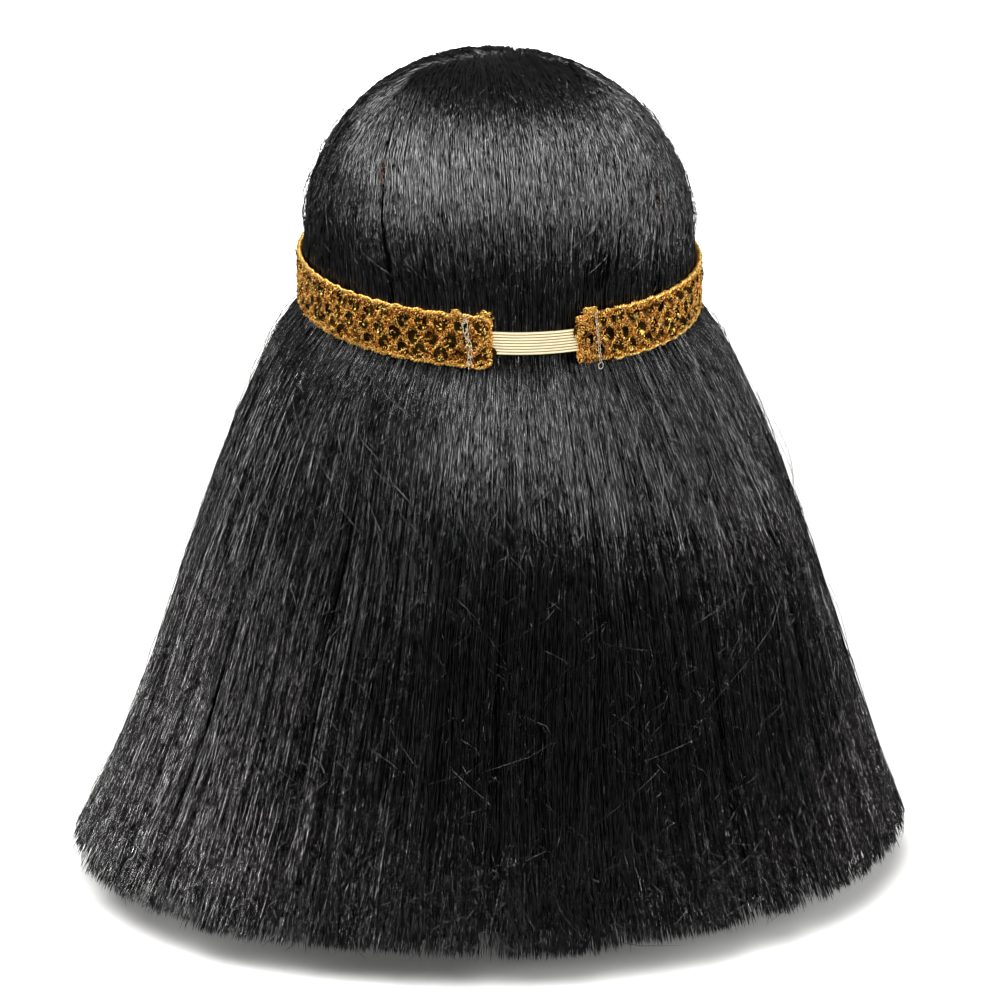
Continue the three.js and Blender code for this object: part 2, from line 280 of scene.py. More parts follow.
def tubes(paths, radii, sides=3, roll=0.0):
    """Closed tubes along paths, an array of tube, knot and xyz. Each ends in a point."""
    count, knots, _ = paths.shape
    along = np.gradient(paths, axis=1)
    along /= np.linalg.norm(along, axis=2, keepdims=True)
    outward = paths - [0, 0, WIDEST_Z]
    outward[..., 2] = np.maximum(outward[..., 2], 0)
    across = np.cross(along, outward)
    across /= np.linalg.norm(across, axis=2, keepdims=True)
    upright = np.cross(across, along)
    spot = np.arange(sides)
    spoke = np.reshape(roll, (-1, 1)) + 2 * np.pi / sides * spot
    spoke = np.broadcast_to(spoke, (count, sides))[:, None, :, None]
    rings = np.cos(spoke) * upright[:, :-1, None] + np.sin(spoke) * across[:, :-1, None]
    rings = paths[:, :-1, None] + rings * radii[:, :-1, None, None]
    each = sides * (knots - 1) + 1
    vertices = np.concatenate([rings.reshape(count, -1, 3), paths[:, -1:]], 1)

    after = (spot + 1) % sides
    level = np.arange(knots - 2)[:, None]
    low, high = sides * level, sides * (level + 1)
    quads = np.stack([low + spot, low + after, high + after, high + spot], -1).reshape(-1, 4)
    last = sides * (knots - 2)
    tips = np.stack([last + spot, last + after, np.full(sides, each - 1)], -1)
    heel = np.stack([np.zeros(sides - 2, int), spot[2:], spot[1:-1]], -1)
    base = each * np.arange(count)[:, None, None]

    step = np.linalg.norm(np.diff(paths, axis=1), axis=2)
    length = np.concatenate([np.zeros((count, 1)), np.cumsum(step, 1)], 1)
    length_of = np.concatenate([np.repeat(length[:, :-1], sides, 1), length[:, -1:]], 1)

    left = np.broadcast_to(spot / sides, (knots - 2, sides))
    right = left + 1 / sides
    near = np.broadcast_to(level / (knots - 1), (knots - 2, sides))
    far = near + 1 / (knots - 1)
    quad_map = np.stack([left, near, right, near, right, far, left, far], -1).reshape(-1, 4, 2)
    shoulder, sliver = 1 - 1 / (knots - 1), 0.01
    tip_map = np.array([[(s / sides, shoulder), ((s + 1) / sides, 1), (s / sides, 1)] for s in spot])
    heel_map = np.array([[(0, 0), ((s + 1) / sides, 0), (s / sides, sliver)] for s in spot[1:-1]])
    return {
        "vertices": vertices.reshape(-1, 3),
        "quads": base + quads,
        "triangles": base + np.concatenate([tips, heel]),
        "quad_map": quad_map,
        "triangle_map": np.concatenate([tip_map, heel_map]),
        "along": length_of.ravel(),
        "each": each,
        "count": count,
    }


CELL_MARGIN = 0.05


def joined(name, bundles, rng):
    """One mesh of several bundles of tubes. Each tube has its own tone, its length along it, and its own
    cell of the map."""
    total = sum(bundle["count"] for bundle in bundles)
    cells = math.ceil(math.sqrt(total))
    shift, first = 0, 0
    quads, triangles, tones = [], [], []
    maps = {"quad_map": [], "triangle_map": []}
    for bundle in bundles:
        number = first + np.arange(bundle["count"])
        cell = np.stack([number % cells, number // cells], -1)[:, None, None]
        for key, places in maps.items():
            inside = cell + CELL_MARGIN + (1 - 2 * CELL_MARGIN) * bundle[key]
            places.append((inside / cells).reshape(-1, 2))
        quads.append((bundle["quads"] + shift).reshape(-1, 4))
        triangles.append((bundle["triangles"] + shift).reshape(-1, 3))
        tones.append(np.repeat(rng.random(bundle["count"]), bundle["each"]))
        shift += len(bundle["vertices"])
        first += bundle["count"]
    quads, triangles = np.concatenate(quads), np.concatenate(triangles)
    corners = np.concatenate([quads.ravel(), triangles.ravel()])
    starts = np.concatenate([4 * np.arange(len(quads)), 4 * len(quads) + 3 * np.arange(len(triangles))])
    points = np.concatenate([bundle["vertices"] for bundle in bundles])
    along = np.concatenate([bundle["along"] for bundle in bundles])
    mesh = bpy.data.meshes.new(name)
    mesh.vertices.add(shift)
    mesh.vertices.foreach_set("co", points.astype(np.float32).ravel())
    mesh.loops.add(len(corners))
    mesh.loops.foreach_set("vertex_index", corners.astype(np.int32))
    mesh.polygons.add(len(starts))
    mesh.polygons.foreach_set("loop_start", starts.astype(np.int32))
    mesh.polygons.foreach_set("use_smooth", np.ones(len(starts), bool))
    for key, values in (("tone", np.concatenate(tones)), ("along", along)):
        mesh.attributes.new(key, "FLOAT", "POINT").data.foreach_set("value", values.astype(np.float32))
    map_places = np.concatenate(maps["quad_map"] + maps["triangle_map"]).astype(np.float32)
    mesh.uv_layers.new(name="OFBake").uv.foreach_set("vector", map_places.ravel())
    mesh.update(calc_edges=True)
    return mesh


# How a panel of hair is combed. Locks are a few degrees wide, lie a little higher or lower than their
# neighbours, lean more the further they fall, end at their own length, and draw together towards their ends.
BAND_SEAT = 28 * MM
LOCK_TURN = {"least": 2.6, "most": 7.0}
LOCK_RISE = 0.5 * MM
LOCK_LEAN = {"lock": 0.9, "strand": 0.5, "growth": 1.5}
LOCK_SHORT = 3 * MM
LOCK_PINCH = {"share": 0.22, "from": 60 * MM}
LOCK_BELLY = {"by": 0.8 * MM, "from": 34 * MM, "to": 190 * MM}
LOCK_TUCK = {"by": 0.5 * MM, "shares": (0.2, 1), "rise": (-56 * MM, -2 * MM), "fade": (BAND_SEAT, 60 * MM)}
# The sewn roots sink under the skin of the hair and hold the strands still, the band presses the hair down,
# and below the band it comes free.
ROOT_SINK = 2.6 * MM
ROOT_SINK_SHARES = (0.3, 1)
ROOT_SINK_END = -92 * MM
ROOT_HOLD_END = -60 * MM
CROWN_LIFT = {"by": 1.2 * MM, "rise": (-CROWN_ARC, -90 * MM), "fade": (-52 * MM, 0)}
BAND_PRESS = {"by": 0.5 * MM, "rise": (-12 * MM, 0), "fade": (BAND_SEAT, 40 * MM)}
FREE_REACH = (26 * MM, 110 * MM)
LEFT_SWAY = {"turn": 46, "wide": 24, "by": -6}
# The ends flare, splay, stand apart and are cut a little unevenly. Only TIP_LENGTHS are in millimetres.
END_FLARE = {"by": 3.5 * MM, "from": 215 * MM, "to": 300 * MM}
END_SPLAY = {"by": 3.4 * MM, "from": 235 * MM}
END_STAND = {"by": 0.7 * MM, "from": 245 * MM}
RAGGED_ENDS = 2.0 * MM
TIP_LENGTHS = (1.5, 4)
LEAST_TIP = 2 * MM
MOST_PROUD = 10 * MM
# Where the hair lies higher or lower than its even fall, in degrees and millimetres: the turn, how wide,
# over what reaches it rises, and over what reaches it fades again, if it does.
SWELLS = (
    {"turn": 50, "wide": 22, "rise": (165, 295), "by": 6.5},
    {"turn": 0, "wide": 42, "rise": (222, 292), "by": 7.5},
    {"turn": 2, "wide": 26, "rise": (30, 82), "fade": (90, 190), "by": 3.0},
    {"turn": -15, "wide": 7, "rise": (30, 80), "fade": (100, 170), "by": -2.2},
    {"turn": -46, "wide": 20, "rise": (36, 125), "fade": (125, 240), "by": 5.0},
    {"turn": -48, "wide": 17, "rise": (92, 124), "fade": (124, 200), "by": 4.2},
    {"turn": -30, "wide": 14, "rise": (28, 46), "fade": (50, 92), "by": -2.2},
    {"turn": 39, "wide": 9, "rise": (34, 90), "fade": (100, 180), "by": -3.0},
    {"turn": -21, "wide": 13, "rise": (-72, -8), "fade": (28, 70), "by": -3.6},
    {"turn": 63, "wide": 14, "rise": (-62, -4), "fade": (28, 70), "by": -3.4},
    {"turn": 40, "wide": 14, "rise": (-130, -116), "fade": (-116, -82), "by": 2.4},
    {"turn": -12, "wide": 13, "rise": (-130, -114), "fade": (-112, -68), "by": -1.8},
)
# Each strand waves on its own, sideways and outwards, in radians to the metre, and its knots are shifted by
# shares of their spacing so that they don't line up with those of other strands.
STRAND_WIDTH = 0.46 * MM
WIDTH_SHARES = (0.75, 1.25)
STRAND_TAPER = ([0, 0.1, 0.8, 1], [0.6, 1, 1, 0.7])
STRAND_WAVE = (28, 75)
SIDE_WAVE = {"by": 0.8 * MM, "on_crown": 0.35}
OUT_WAVE = {"by": 0.5 * MM, "on_crown": 0.3, "slower": 0.8}
ANY_PHASE = 6.3
KNOT_SHIFT = 0.35
ROOT_SHIFT = 0.4
# Neighbours also wander together, by millimetres. Each wave has radians to a degree of turn and to a metre
# of reach, and the hair's radius turns a way sideways into degrees.
DRIFT = {"on_crown": 0.5, "free": 1.6, "in_depth": 0.9}
DRIFT_SEEDS = {"sideways": 11, "in_depth": 23}
DRIFT_WAVES = ((0.11, 9.0), (0.27, 15.0), (0.55, 23.0))
DRIFT_SKEW = {"turn": 0.7, "reach": 0.6}
HAIR_RADIUS = {"band": 105 * MM, "growth": 60 * MM}


def drift(turn, reach, seed):
    """A smooth wander over the hair, from about -1 to 1, so that neighbours move together."""
    rng = np.random.default_rng(seed)
    total = 0
    for turns, reaches in DRIFT_WAVES:
        first, second = rng.uniform(0, 2 * np.pi, 2)
        one = np.sin(turns * turn + reaches * reach + first)
        skewed = DRIFT_SKEW["reach"] * reaches * reach - DRIFT_SKEW["turn"] * turns * turn
        total = total + one * np.cos(skewed + second)
    return total / 2


def standing_out(turn, reach):
    """How far the hair stands out from its even fall: its swells, and the flare of its ends."""
    total = END_FLARE["by"] * eased(reach, END_FLARE["from"], END_FLARE["to"])
    for swell in SWELLS:
        share = np.exp(-(((turn - swell["turn"]) / swell["wide"]) ** 2)) * eased(reach / MM, *swell["rise"])
        if "fade" in swell:
            share = share * (1 - eased(reach / MM, *swell["fade"]))
        total = total + share * swell["by"] * MM
    return total


def comb(rng, layer, turns, lift=0.0, longest=HAIR_LENGTH, sink=ROOT_SINK):
    """A layer of combed strands between two turns, gathered in locks."""
    count, knots = layer["count"], layer["knots"]
    first, last = turns
    turn = rng.uniform(first, last, count)
    edges = [first]
    while edges[-1] < last:
        edges.append(edges[-1] + rng.uniform(LOCK_TURN["least"], LOCK_TURN["most"]))
    edges = np.array(edges)
    lock = np.clip(np.searchsorted(edges, turn) - 1, 0, len(edges) - 2)
    lock_middle = (edges[lock] + edges[lock + 1]) / 2
    lock_rise = rng.normal(0, LOCK_RISE, len(edges))[lock]
    lock_lean = rng.normal(0, LOCK_LEAN["lock"], len(edges))[lock]
    lock_short = rng.uniform(0, LOCK_SHORT, len(edges))[lock]
    lock_belly = rng.normal(0, LOCK_BELLY["by"], len(edges))[lock]
    lock_tuck = rng.uniform(*LOCK_TUCK["shares"], len(edges))[lock] * LOCK_TUCK["by"]
    lock_sink = rng.uniform(*ROOT_SINK_SHARES, len(edges))[lock] * sink

    # Where the knots lie along each strand.
    places = np.where(knots > 0, knots * longest / HAIR_LENGTH, knots)
    reach = places[None] + np.zeros((count, 1))
    under_band = (places >= 0) & (places <= BAND_SEAT)
    spacing = np.where(under_band, 0, np.gradient(places))[None]
    reach[:, 1:-2] += (rng.uniform(-KNOT_SHIFT, KNOT_SHIFT, (count, 1)) * spacing)[:, 1:-2]
    reach[:, 0] += rng.uniform(0, ROOT_SHIFT, count) * spacing[0, 0]
    reach[:, -1] -= layer["short"] + lock_short + np.abs(rng.normal(0, RAGGED_ENDS, count))
    tip = rng.uniform(*TIP_LENGTHS, count) * MM
    reach[:, -2] = np.maximum(reach[:, -1] - tip, reach[:, -3] + LEAST_TIP)

    # Which way each strand strays sideways.
    free = eased(reach, *FREE_REACH)
    falling = np.clip(reach / HAIR_LENGTH, 0, 1)
    loosened = eased(reach, -CROWN_ARC, ROOT_HOLD_END)
    radius = HAIR_RADIUS["band"] + HAIR_RADIUS["growth"] * falling
    wave = rng.uniform(*STRAND_WAVE, (count, 1))
    own = rng.normal(0, SIDE_WAVE["by"], (count, 1))
    own = own * np.sin(wave * reach + rng.uniform(0, ANY_PHASE, (count, 1)))
    drifting = DRIFT["on_crown"] * loosened + DRIFT["free"] * free
    wander = drift(turn[:, None], reach, DRIFT_SEEDS["sideways"]) * drifting * MM
    wander = wander + own * (SIDE_WAVE["on_crown"] * loosened + free)
    leaning = lock_lean[:, None] + rng.normal(0, LOCK_LEAN["strand"], (count, 1))
    leaning = leaning * falling ** LOCK_LEAN["growth"]
    pinched = LOCK_PINCH["share"] * eased(reach, LOCK_PINCH["from"], HAIR_LENGTH)
    pinch = (lock_middle - turn)[:, None] * pinched
    splay = rng.normal(0, END_SPLAY["by"], (count, 1)) * eased(reach, END_SPLAY["from"], HAIR_LENGTH)
    swaying = np.exp(-(((turn[:, None] - LEFT_SWAY["turn"]) / LEFT_SWAY["wide"]) ** 2))
    sway = LEFT_SWAY["by"] * swaying * falling
    at = turn[:, None] + np.degrees((wander + splay) / radius) + leaning + pinch + sway

    # How deep each strand lies under the skin of the hair.
    depth = rng.uniform(*layer["insets"], (count, 1)) * hair_depth(reach)
    bob = rng.normal(0, OUT_WAVE["by"], (count, 1))
    bob = bob * np.sin(OUT_WAVE["slower"] * wave * reach + rng.uniform(0, ANY_PHASE, (count, 1)))
    depth = depth + bob * (OUT_WAVE["on_crown"] + free) + lock_rise[:, None] * free
    depth = depth + drift(turn[:, None], reach, DRIFT_SEEDS["in_depth"]) * DRIFT["in_depth"] * MM * free
    depth = depth - lift * between(reach, CROWN_LIFT["rise"], CROWN_LIFT["fade"])
    depth = depth + BAND_PRESS["by"] * between(reach, BAND_PRESS["rise"], BAND_PRESS["fade"])
    depth = depth + lock_belly[:, None] * np.sin(np.pi * eased(reach, LOCK_BELLY["from"], LOCK_BELLY["to"]))
    depth = depth + lock_sink[:, None] * (1 - eased(reach, -CROWN_ARC, ROOT_SINK_END))
    depth = depth + lock_tuck[:, None] * between(reach, LOCK_TUCK["rise"], LOCK_TUCK["fade"])
    depth = depth + rng.normal(0, END_STAND["by"], (count, 1)) * eased(reach, END_STAND["from"], HAIR_LENGTH)
    depth = depth - standing_out(turn[:, None], reach)
    paths = hair_points(at, reach, np.maximum(depth, -MOST_PROUD))
    taper = np.interp(np.linspace(0, 1, len(knots)), *STRAND_TAPER)
    radii = layer["width"] / 2 * rng.uniform(*WIDTH_SHARES, (count, 1)) * taper[None]
    return tubes(paths, radii, roll=rng.uniform(0, ANY_PHASE, count))


# The core's depth and wall are shares of the hair's thickness, and its sink is a share of the roots'.
CORE = {"across": 30, "down": 40, "depth": 0.5, "sink": 0.6, "wall": 0.4, "root": -126 * MM, "short": 8 * MM}


def hair_core(name, turns, longest):
    """The dense middle of a panel: a smooth wall under the outer strands that nothing shows through."""
    core = bmesh.new()
    bmesh.ops.create_grid(core, x_segments=CORE["across"], y_segments=CORE["down"], size=1.0)
    places = np.array([vert.co for vert in core.verts])
    turn = turns[0] + (turns[1] - turns[0]) * (places[:, 0] + 1) / 2
    reach = CORE["root"] + (longest - CORE["root"]) * (1 - places[:, 1]) / 2
    sunk = CORE["sink"] * ROOT_SINK * (1 - eased(reach, -CROWN_ARC, ROOT_SINK_END))
    inset = CORE["depth"] * hair_depth(reach) + sunk
    for vert, point in zip(core.verts, hair_points(turn, reach, inset)):
        vert.co = point
    thicken(core, CORE["wall"] * CROWN_HAIR)
    return mesh_of(core, name)


# Modacrylic fibre: near black and smooth, so it shows by its sheen, which fine kinks break into dashes.
# Each tone reads its own row of the noise, so that the kinks of neighbours don't line up. The noise also
# sets the sheen, by a gain from its least, and the mean stands in for it where only one value is kept.
KINK_LENGTH = 6 * MM
KINK_RISE = 0.6 * MM
KINK_POWER = 3.0
TONE_ROWS = 977.0
SHINE = {"least": -0.83, "gain": 3.0, "mean": 0.67}
hair, hair_shader = new_material(
    "black modacrylic hair fibre", Roughness=0.25, IOR=1.7, Specular_IOR_Level=SHINE["mean"]
)
hair_tone = add_node(hair, "Attribute", attribute_name="tone").outputs["Fac"]
hair_along = add_node(hair, "Attribute", attribute_name="along").outputs["Fac"]
hair_stops = [(0.0, "#020203"), (0.6, "#050506"), (1.0, "#0b0a0a")]
hair_colour = add_node(hair, "ValToRGB", {"Fac": hair_tone}, hair_stops).outputs["Color"]
kink_row = add_node(hair, "Math", {0: hair_tone, 1: TONE_ROWS}, operation="MULTIPLY").outputs[0]
kink_along = add_node(hair, "Math", {0: hair_along, 1: 1 / KINK_LENGTH}, operation="MULTIPLY").outputs[0]
kink_place = add_node(hair, "CombineXYZ", {"X": kink_row, "Y": kink_along}).outputs[0]
kink_inputs = {"Vector": kink_place, "Scale": 1.0, "Detail": 1.0}
kinks = add_node(hair, "TexNoise", kink_inputs, noise_dimensions="2D").outputs["Fac"]
kink_sharp = add_node(hair, "Math", {0: kinks, 1: KINK_POWER}, operation="POWER").outputs[0]
kink_bump = add_node(hair, "Bump", {"Height": kink_sharp, "Strength": 1.0, "Distance": KINK_RISE})
shine_inputs = {0: kinks, 1: SHINE["gain"], 2: SHINE["least"]}
hair_shine = add_node(hair, "Math", shine_inputs, operation="MULTIPLY_ADD").outputs[0]
hair.node_tree.links.new(hair_colour, hair_shader.inputs["Base Color"])
hair.node_tree.links.new(hair_shine, hair_shader.inputs["Specular IOR Level"])
hair.node_tree.links.new(kink_bump.outputs["Normal"], hair_shader.inputs["Normal"])

# The same fibre packed close, as a shaded copy of it: painted shade makes it darker than the strands and
# takes away its sheen, with faint streaks down the hair.
STREAK = {"wide": MM / 0.9, "long": 25 * MM}
streak_scale = (1 / STREAK["wide"], 1 / STREAK["wide"], 1 / STREAK["long"])
mass, mass_shader = new_material("black modacrylic hair in painted shade", Roughness=0.9, Specular_IOR_Level=0.0)
mass_place = add_node(mass, "TexCoord").outputs["Object"]
mass_stretch = add_node(mass, "Mapping", {"Vector": mass_place, "Scale": streak_scale}).outputs[0]
mass_noise = add_node(mass, "TexNoise", {"Vector": mass_stretch, "Scale": 1.0, "Detail": 2.0}).outputs["Fac"]
# Painted shade: near-black tones, darker than the strands' own, for the fibre deep in the mass.
mass_shade_stops = [(0.35, "#020202"), (0.7, "#060607")]
mass_shade_colour = add_node(mass, "ValToRGB", {"Fac": mass_noise}, mass_shade_stops).outputs["Color"]
mass.node_tree.links.new(mass_shade_colour, mass_shader.inputs["Base Color"])

# The layers of a panel: how many strands, their knots from root to tip, their depth as shares of the hair's
# thickness, their width, and how much shorter than the longest they are.
LONG_KNOTS = MM * np.array([-133, -110, -88, -62, -34, 2, 27.5, 40, 58, 80, 104, 140, 190, 240, 278, 283])
BAND_KNOTS = MM * np.array([16, 27.5, 40, 58, 80, 104, 140, 190, 240, 278, 283])
DEEP_KNOTS = MM * np.array([26, 62, 100, 160, 222, 283])
END_KNOTS = MM * np.array([208, 236, 262, 278, 283])
WIDER = 1.3 * STRAND_WIDTH
LONG_LAYER = {"count": 1400, "knots": LONG_KNOTS, "insets": (0.0, 0.28), "width": STRAND_WIDTH, "short": 0.0}
BAND_LAYER = {"count": 700, "knots": BAND_KNOTS, "insets": (0.02, 0.3), "width": STRAND_WIDTH, "short": 0.0}
DEEP_LAYER = {"count": 240, "knots": DEEP_KNOTS, "insets": (0.72, 0.98), "width": WIDER, "short": 7 * MM}
END_LAYER = {"count": 900, "knots": END_KNOTS, "insets": (0.2, 0.95), "width": WIDER, "short": 4 * MM}
SEAM_TURN = 1.5
OVERLAP_TURN = 0.8


def hair_panel(seed, node, turns, core_turns, lift=0.0):
    """A panel of hair: strands from the crown, more from under the band, inner ones, and short ends."""
    rng = np.random.default_rng(seed)
    sewn = (turns[0] + SEAM_TURN, turns[1] - SEAM_TURN)
    overlapping = (turns[0] - OVERLAP_TURN, turns[1] + OVERLAP_TURN)
    bundles = [
        comb(rng, LONG_LAYER, sewn, lift),
        comb(rng, BAND_LAYER, overlapping),
        comb(rng, DEEP_LAYER, turns),
        comb(rng, END_LAYER, turns),
    ]
    strands = joined(node + "_strands", bundles, rng)
    add_piece(node + "_strands", strands, hair, "hair", node)
    core = hair_core(node + "_mass", core_turns, HAIR_LENGTH - CORE["short"])
    add_piece(node + "_mass", core, mass, "hair")


back_turns = (-BACK_TURN, BACK_TURN)
hair_panel(1, "back_hair", back_turns, back_turns, CROWN_LIFT["by"])

# Side hair
# The same fibre, sewn to the cap in front of the crown seams and combed down past the ears, so that it
# frames the face. Its front edges are loose.
LOOSE_EDGE = 2.0
left_turns, left_core = (BACK_TURN, FACE_TURN), (BACK_TURN, FACE_TURN - LOOSE_EDGE)
right_turns, right_core = (-FACE_TURN, -BACK_TURN), (-FACE_TURN + LOOSE_EDGE, -BACK_TURN)
hair_panel(2, "left_hair", left_turns, left_core)
hair_panel(3, "right_hair", right_turns, right_core)

# Fringe
# The same fibre, sewn along the ridge, combed forward over the forehead and cut straight above the brows.
FRINGE_DROP = 41 * MM
FRINGE_SINK = 4 * MM
FRINGE_CORE_SHORT = 5 * MM
FRINGE_KNOTS = MM * np.array([-133, -112, -92, -68, -40, 2, 190, 250, 283])
FRINGE_LAYERS = (
    {"count": 1250, "knots": FRINGE_KNOTS, "insets": (0.0, 0.3), "width": STRAND_WIDTH, "short": 0.0},
    {"count": 350, "knots": FRINGE_KNOTS, "insets": (0.6, 0.95), "width": WIDER, "short": 0.0},
)
fringe_rng = np.random.default_rng(4)
fringe_turns = (FACE_TURN, 360 - FACE_TURN)
fringe_bundles = [
    comb(fringe_rng, layer, fringe_turns, longest=FRINGE_DROP, sink=FRINGE_SINK) for layer in FRINGE_LAYERS
]
add_piece("fringe_strands", joined("fringe_strands", fringe_bundles, fringe_rng), hair, "hair", "fringe")
fringe_core = hair_core("fringe_mass", fringe_turns, FRINGE_DROP - FRINGE_CORE_SHORT)
add_piece("fringe_mass", fringe_core, mass, "hair")

# Stray hairs
# Single fibres that static lifts out of the comb. Most lie across the others, and a few stand off the
# outline. They are the same fibre, and are sewn with the rest.
STRAY_WIDTH = 0.26 * MM
FLY_WIDTH = 0.17 * MM
STRAY_TURN = 118
STRAY_CURLS = (0.7, 1.8)
STRAY_SEAT = 0.4 * MM
STRAY_PROUD = 13 * MM
STRAY_BAND = {"by": 1.6 * MM, "rise": (-14 * MM, -4 * MM), "fade": (30 * MM, 38 * MM)}
STRAY_ARCH = {"full": 1.1, "power": 0.8}
STRAY_TAPER = ([0, 0.8, 1], [0.8, 1, 0.4])
# Each row has how many hairs, the knots to a hair, its width, its slant in degrees, and its lengths, how far
# it stands off and where it starts in millimetres.
ANYWHERE = (-110, HAIR_LENGTH / MM - 20)
AT_HEM = (225, 275)
STRAYS = (
    (300, 9, STRAY_WIDTH, {"lengths": (40, 130), "slant": 7.0, "standing": (0.6, 3), "starts": ANYWHERE}),
    (1000, 6, STRAY_WIDTH, {"lengths": (8, 36), "slant": 5.5, "standing": (0.8, 3.4), "starts": ANYWHERE}),
    (900, 4, STRAY_WIDTH, {"lengths": (3, 9), "slant": 1.5, "standing": (0.8, 2.2), "starts": ANYWHERE}),
    (420, 7, FLY_WIDTH, {"lengths": (30, 95), "slant": 3.0, "standing": (0.8, 3.2), "starts": ANYWHERE}),
    (120, 9, FLY_WIDTH, {"lengths": (50, 120), "slant": 6.0, "standing": (2, 7), "starts": ANYWHERE}),
    (560, 4, STRAY_WIDTH, {"lengths": (6, 18), "slant": 3.0, "standing": (0.8, 3), "starts": AT_HEM}),
)


def strays(rng, count, knots, width, kind):
    """Single hairs that wander across the hair, and stand off it in the middle of their length."""
    way = np.linspace(0, 1, knots)[None]
    lengths, standing, starts = (MM * np.array(kind[key]) for key in ("lengths", "standing", "starts"))
    turn = rng.uniform(-STRAY_TURN, STRAY_TURN, (count, 1))
    length = rng.uniform(*lengths, (count, 1))
    start = rng.uniform(*starts, (count, 1))
    length = np.minimum(length, HAIR_LENGTH - start)
    reach = start + way * length
    slant = rng.normal(0, kind["slant"], (count, 1)) * length / lengths[1]
    curl = rng.normal(0, kind["slant"], (count, 1)) * length / lengths[1]
    at = turn + slant * way + curl * np.sin(np.pi * way * rng.uniform(*STRAY_CURLS, (count, 1)))
    arch = np.sin(np.pi * np.clip(way * STRAY_ARCH["full"], 0, 1)) ** STRAY_ARCH["power"]
    proud = rng.uniform(*standing, (count, 1)) * arch
    hidden = between(reach, STRAY_BAND["rise"], STRAY_BAND["fade"])
    inset = STRAY_SEAT - proud * (1 - hidden) + STRAY_BAND["by"] * hidden - standing_out(at, reach)
    paths = hair_points(at, reach, np.maximum(inset, -STRAY_PROUD))
    radii = width / 2 * np.interp(way, *STRAY_TAPER) + np.zeros((count, 1))
    return tubes(paths, radii, roll=rng.uniform(0, ANY_PHASE, count))


stray_rng = np.random.default_rng(5)
stray_bundles = [strays(stray_rng, *stray) for stray in STRAYS]
add_piece("stray_hairs", joined("stray_hairs", stray_bundles, stray_rng), hair, "hair")

# Seam stitches
# Brown cotton thread joins the wefts of the back and the sides. It is sewn in loose loops, which show in two
# places where the hair parts.
SEAM_THREAD = 0.3 * MM
SEAM_LOOP = 0.8 * MM
SEAM_LOOP_SHARES = (0.4, 1.2)
SEAM_SWEEP = np.linspace(0, 4, 6)
SEAM_ASTRAY = 0.5
SEAM_RADIUS = 80 * MM
SEAM_INSETS = (-0.4 * MM, 1.2 * MM)
SEAM_STITCHES = (
    {"turn": 41.6, "from": -67 * MM, "to": -50 * MM, "count": 30},
    {"turn": -41.8, "from": -44 * MM, "to": -32 * MM, "count": 14},
)
seam_rng = np.random.default_rng(8)
seam_bundles = []
for seam in SEAM_STITCHES:
    each = (seam["count"], 1)
    sweep = SEAM_SWEEP[None] + seam_rng.uniform(0, ANY_PHASE, each)
    spread = seam_rng.uniform(*SEAM_LOOP_SHARES, each) * SEAM_LOOP
    at = seam["turn"] + seam_rng.normal(0, SEAM_ASTRAY, each)
    at = at + np.degrees(spread * np.cos(sweep) / SEAM_RADIUS)
    reach = seam_rng.uniform(seam["from"], seam["to"], each) + spread * np.sin(sweep)
    inset = seam_rng.uniform(*SEAM_INSETS, each) + 0.5 * spread * np.sin(2 * sweep)
    paths = hair_points(at, reach, inset)
    seam_bundles.append(tubes(paths, np.full(paths.shape[:2], SEAM_THREAD / 2)))

# Cotton: soft and without shine, in two browns.
cotton, cotton_shader = new_material("brown cotton thread", Roughness=0.85)
cotton_tone = add_node(cotton, "Attribute", attribute_name="tone").outputs["Fac"]
cotton_stops = [(0.2, "#2a1a14"), (0.8, "#6e4c3c")]
cotton_colour = add_node(cotton, "ValToRGB", {"Fac": cotton_tone}, cotton_stops).outputs["Color"]
cotton.node_tree.links.new(cotton_colour, cotton_shader.inputs["Base Color"])
add_piece("seam_stitches", joined("seam_stitches", seam_bundles, seam_rng), cotton, "hair")

# Sequin braid
# A crocheted trim: a woven ground, three rows of cup sequins caught under gold metallic yarn, and a twisted
# gold cord along each edge. Its two ends are folded under and sewn down with white thread.
BRAID_DROP = 16.4 * MM
BRAID_WIDTH = 23 * MM
BRAID_SEAT = 0.35 * MM
NAPE_DIP = 1.2 * MM
GROUND_WALL = 0.9 * MM
GROUND_GRID = {"along": 220, "across": 6}
ELASTIC_SHOWN = 37 * MM
FOLD = {"length": 9 * MM, "rise": 1.1 * MM, "flat": 0.75}
BRAID_EDGE = {"inset": 0.6 * MM, "rounding": 2.2 * MM, "over": 4 * MM}
# How far out from the seat the middles of the trim lie.
BRAID_OUT = {"cords": 1.1 * MM, "sequins": 1.15 * MM, "yarn": 1.55 * MM, "loops": 1.6 * MM}
SEQUIN_ROWS = MM * np.array([-6.8, 0.0, 6.8])
SEQUIN_PITCH = 9.2 * MM
# Lengths round the band for turns from a little before the middle of the back to a little past it.
band_turns = np.radians(np.linspace(-20, 380, 3201))
band_ring = np.stack([CROWN[0] * np.sin(band_turns), CROWN[1] * np.cos(band_turns)], -1)
band_lengths = np.concatenate([[0], np.cumsum(np.linalg.norm(np.diff(band_ring, axis=0), axis=1))])
band_lengths -= np.interp(0, band_turns, band_lengths)
BAND_ROUND = np.interp(2 * np.pi, band_turns, band_lengths)
BRAID_START = ELASTIC_SHOWN / 2
BRAID_END = BAND_ROUND - ELASTIC_SHOWN / 2
FIRST_SEQUIN = BRAID_START + 3.4 * MM
braid_rng = np.random.default_rng(6)


def band_points(length, height, out):
    """Points on the band. length: round the head from the middle of the back by the left side; height:
    above the band's middle line; out: off the hair."""
    length, height, out = np.broadcast_arrays(length, height, out)
    turn = np.interp(length, band_lengths, band_turns)
    z = WIDEST_Z - BRAID_DROP - NAPE_DIP * np.cos(turn) + height
    return np.stack([(CROWN[0] + out) * np.sin(turn), (CROWN[1] + out) * np.cos(turn), z], -1)


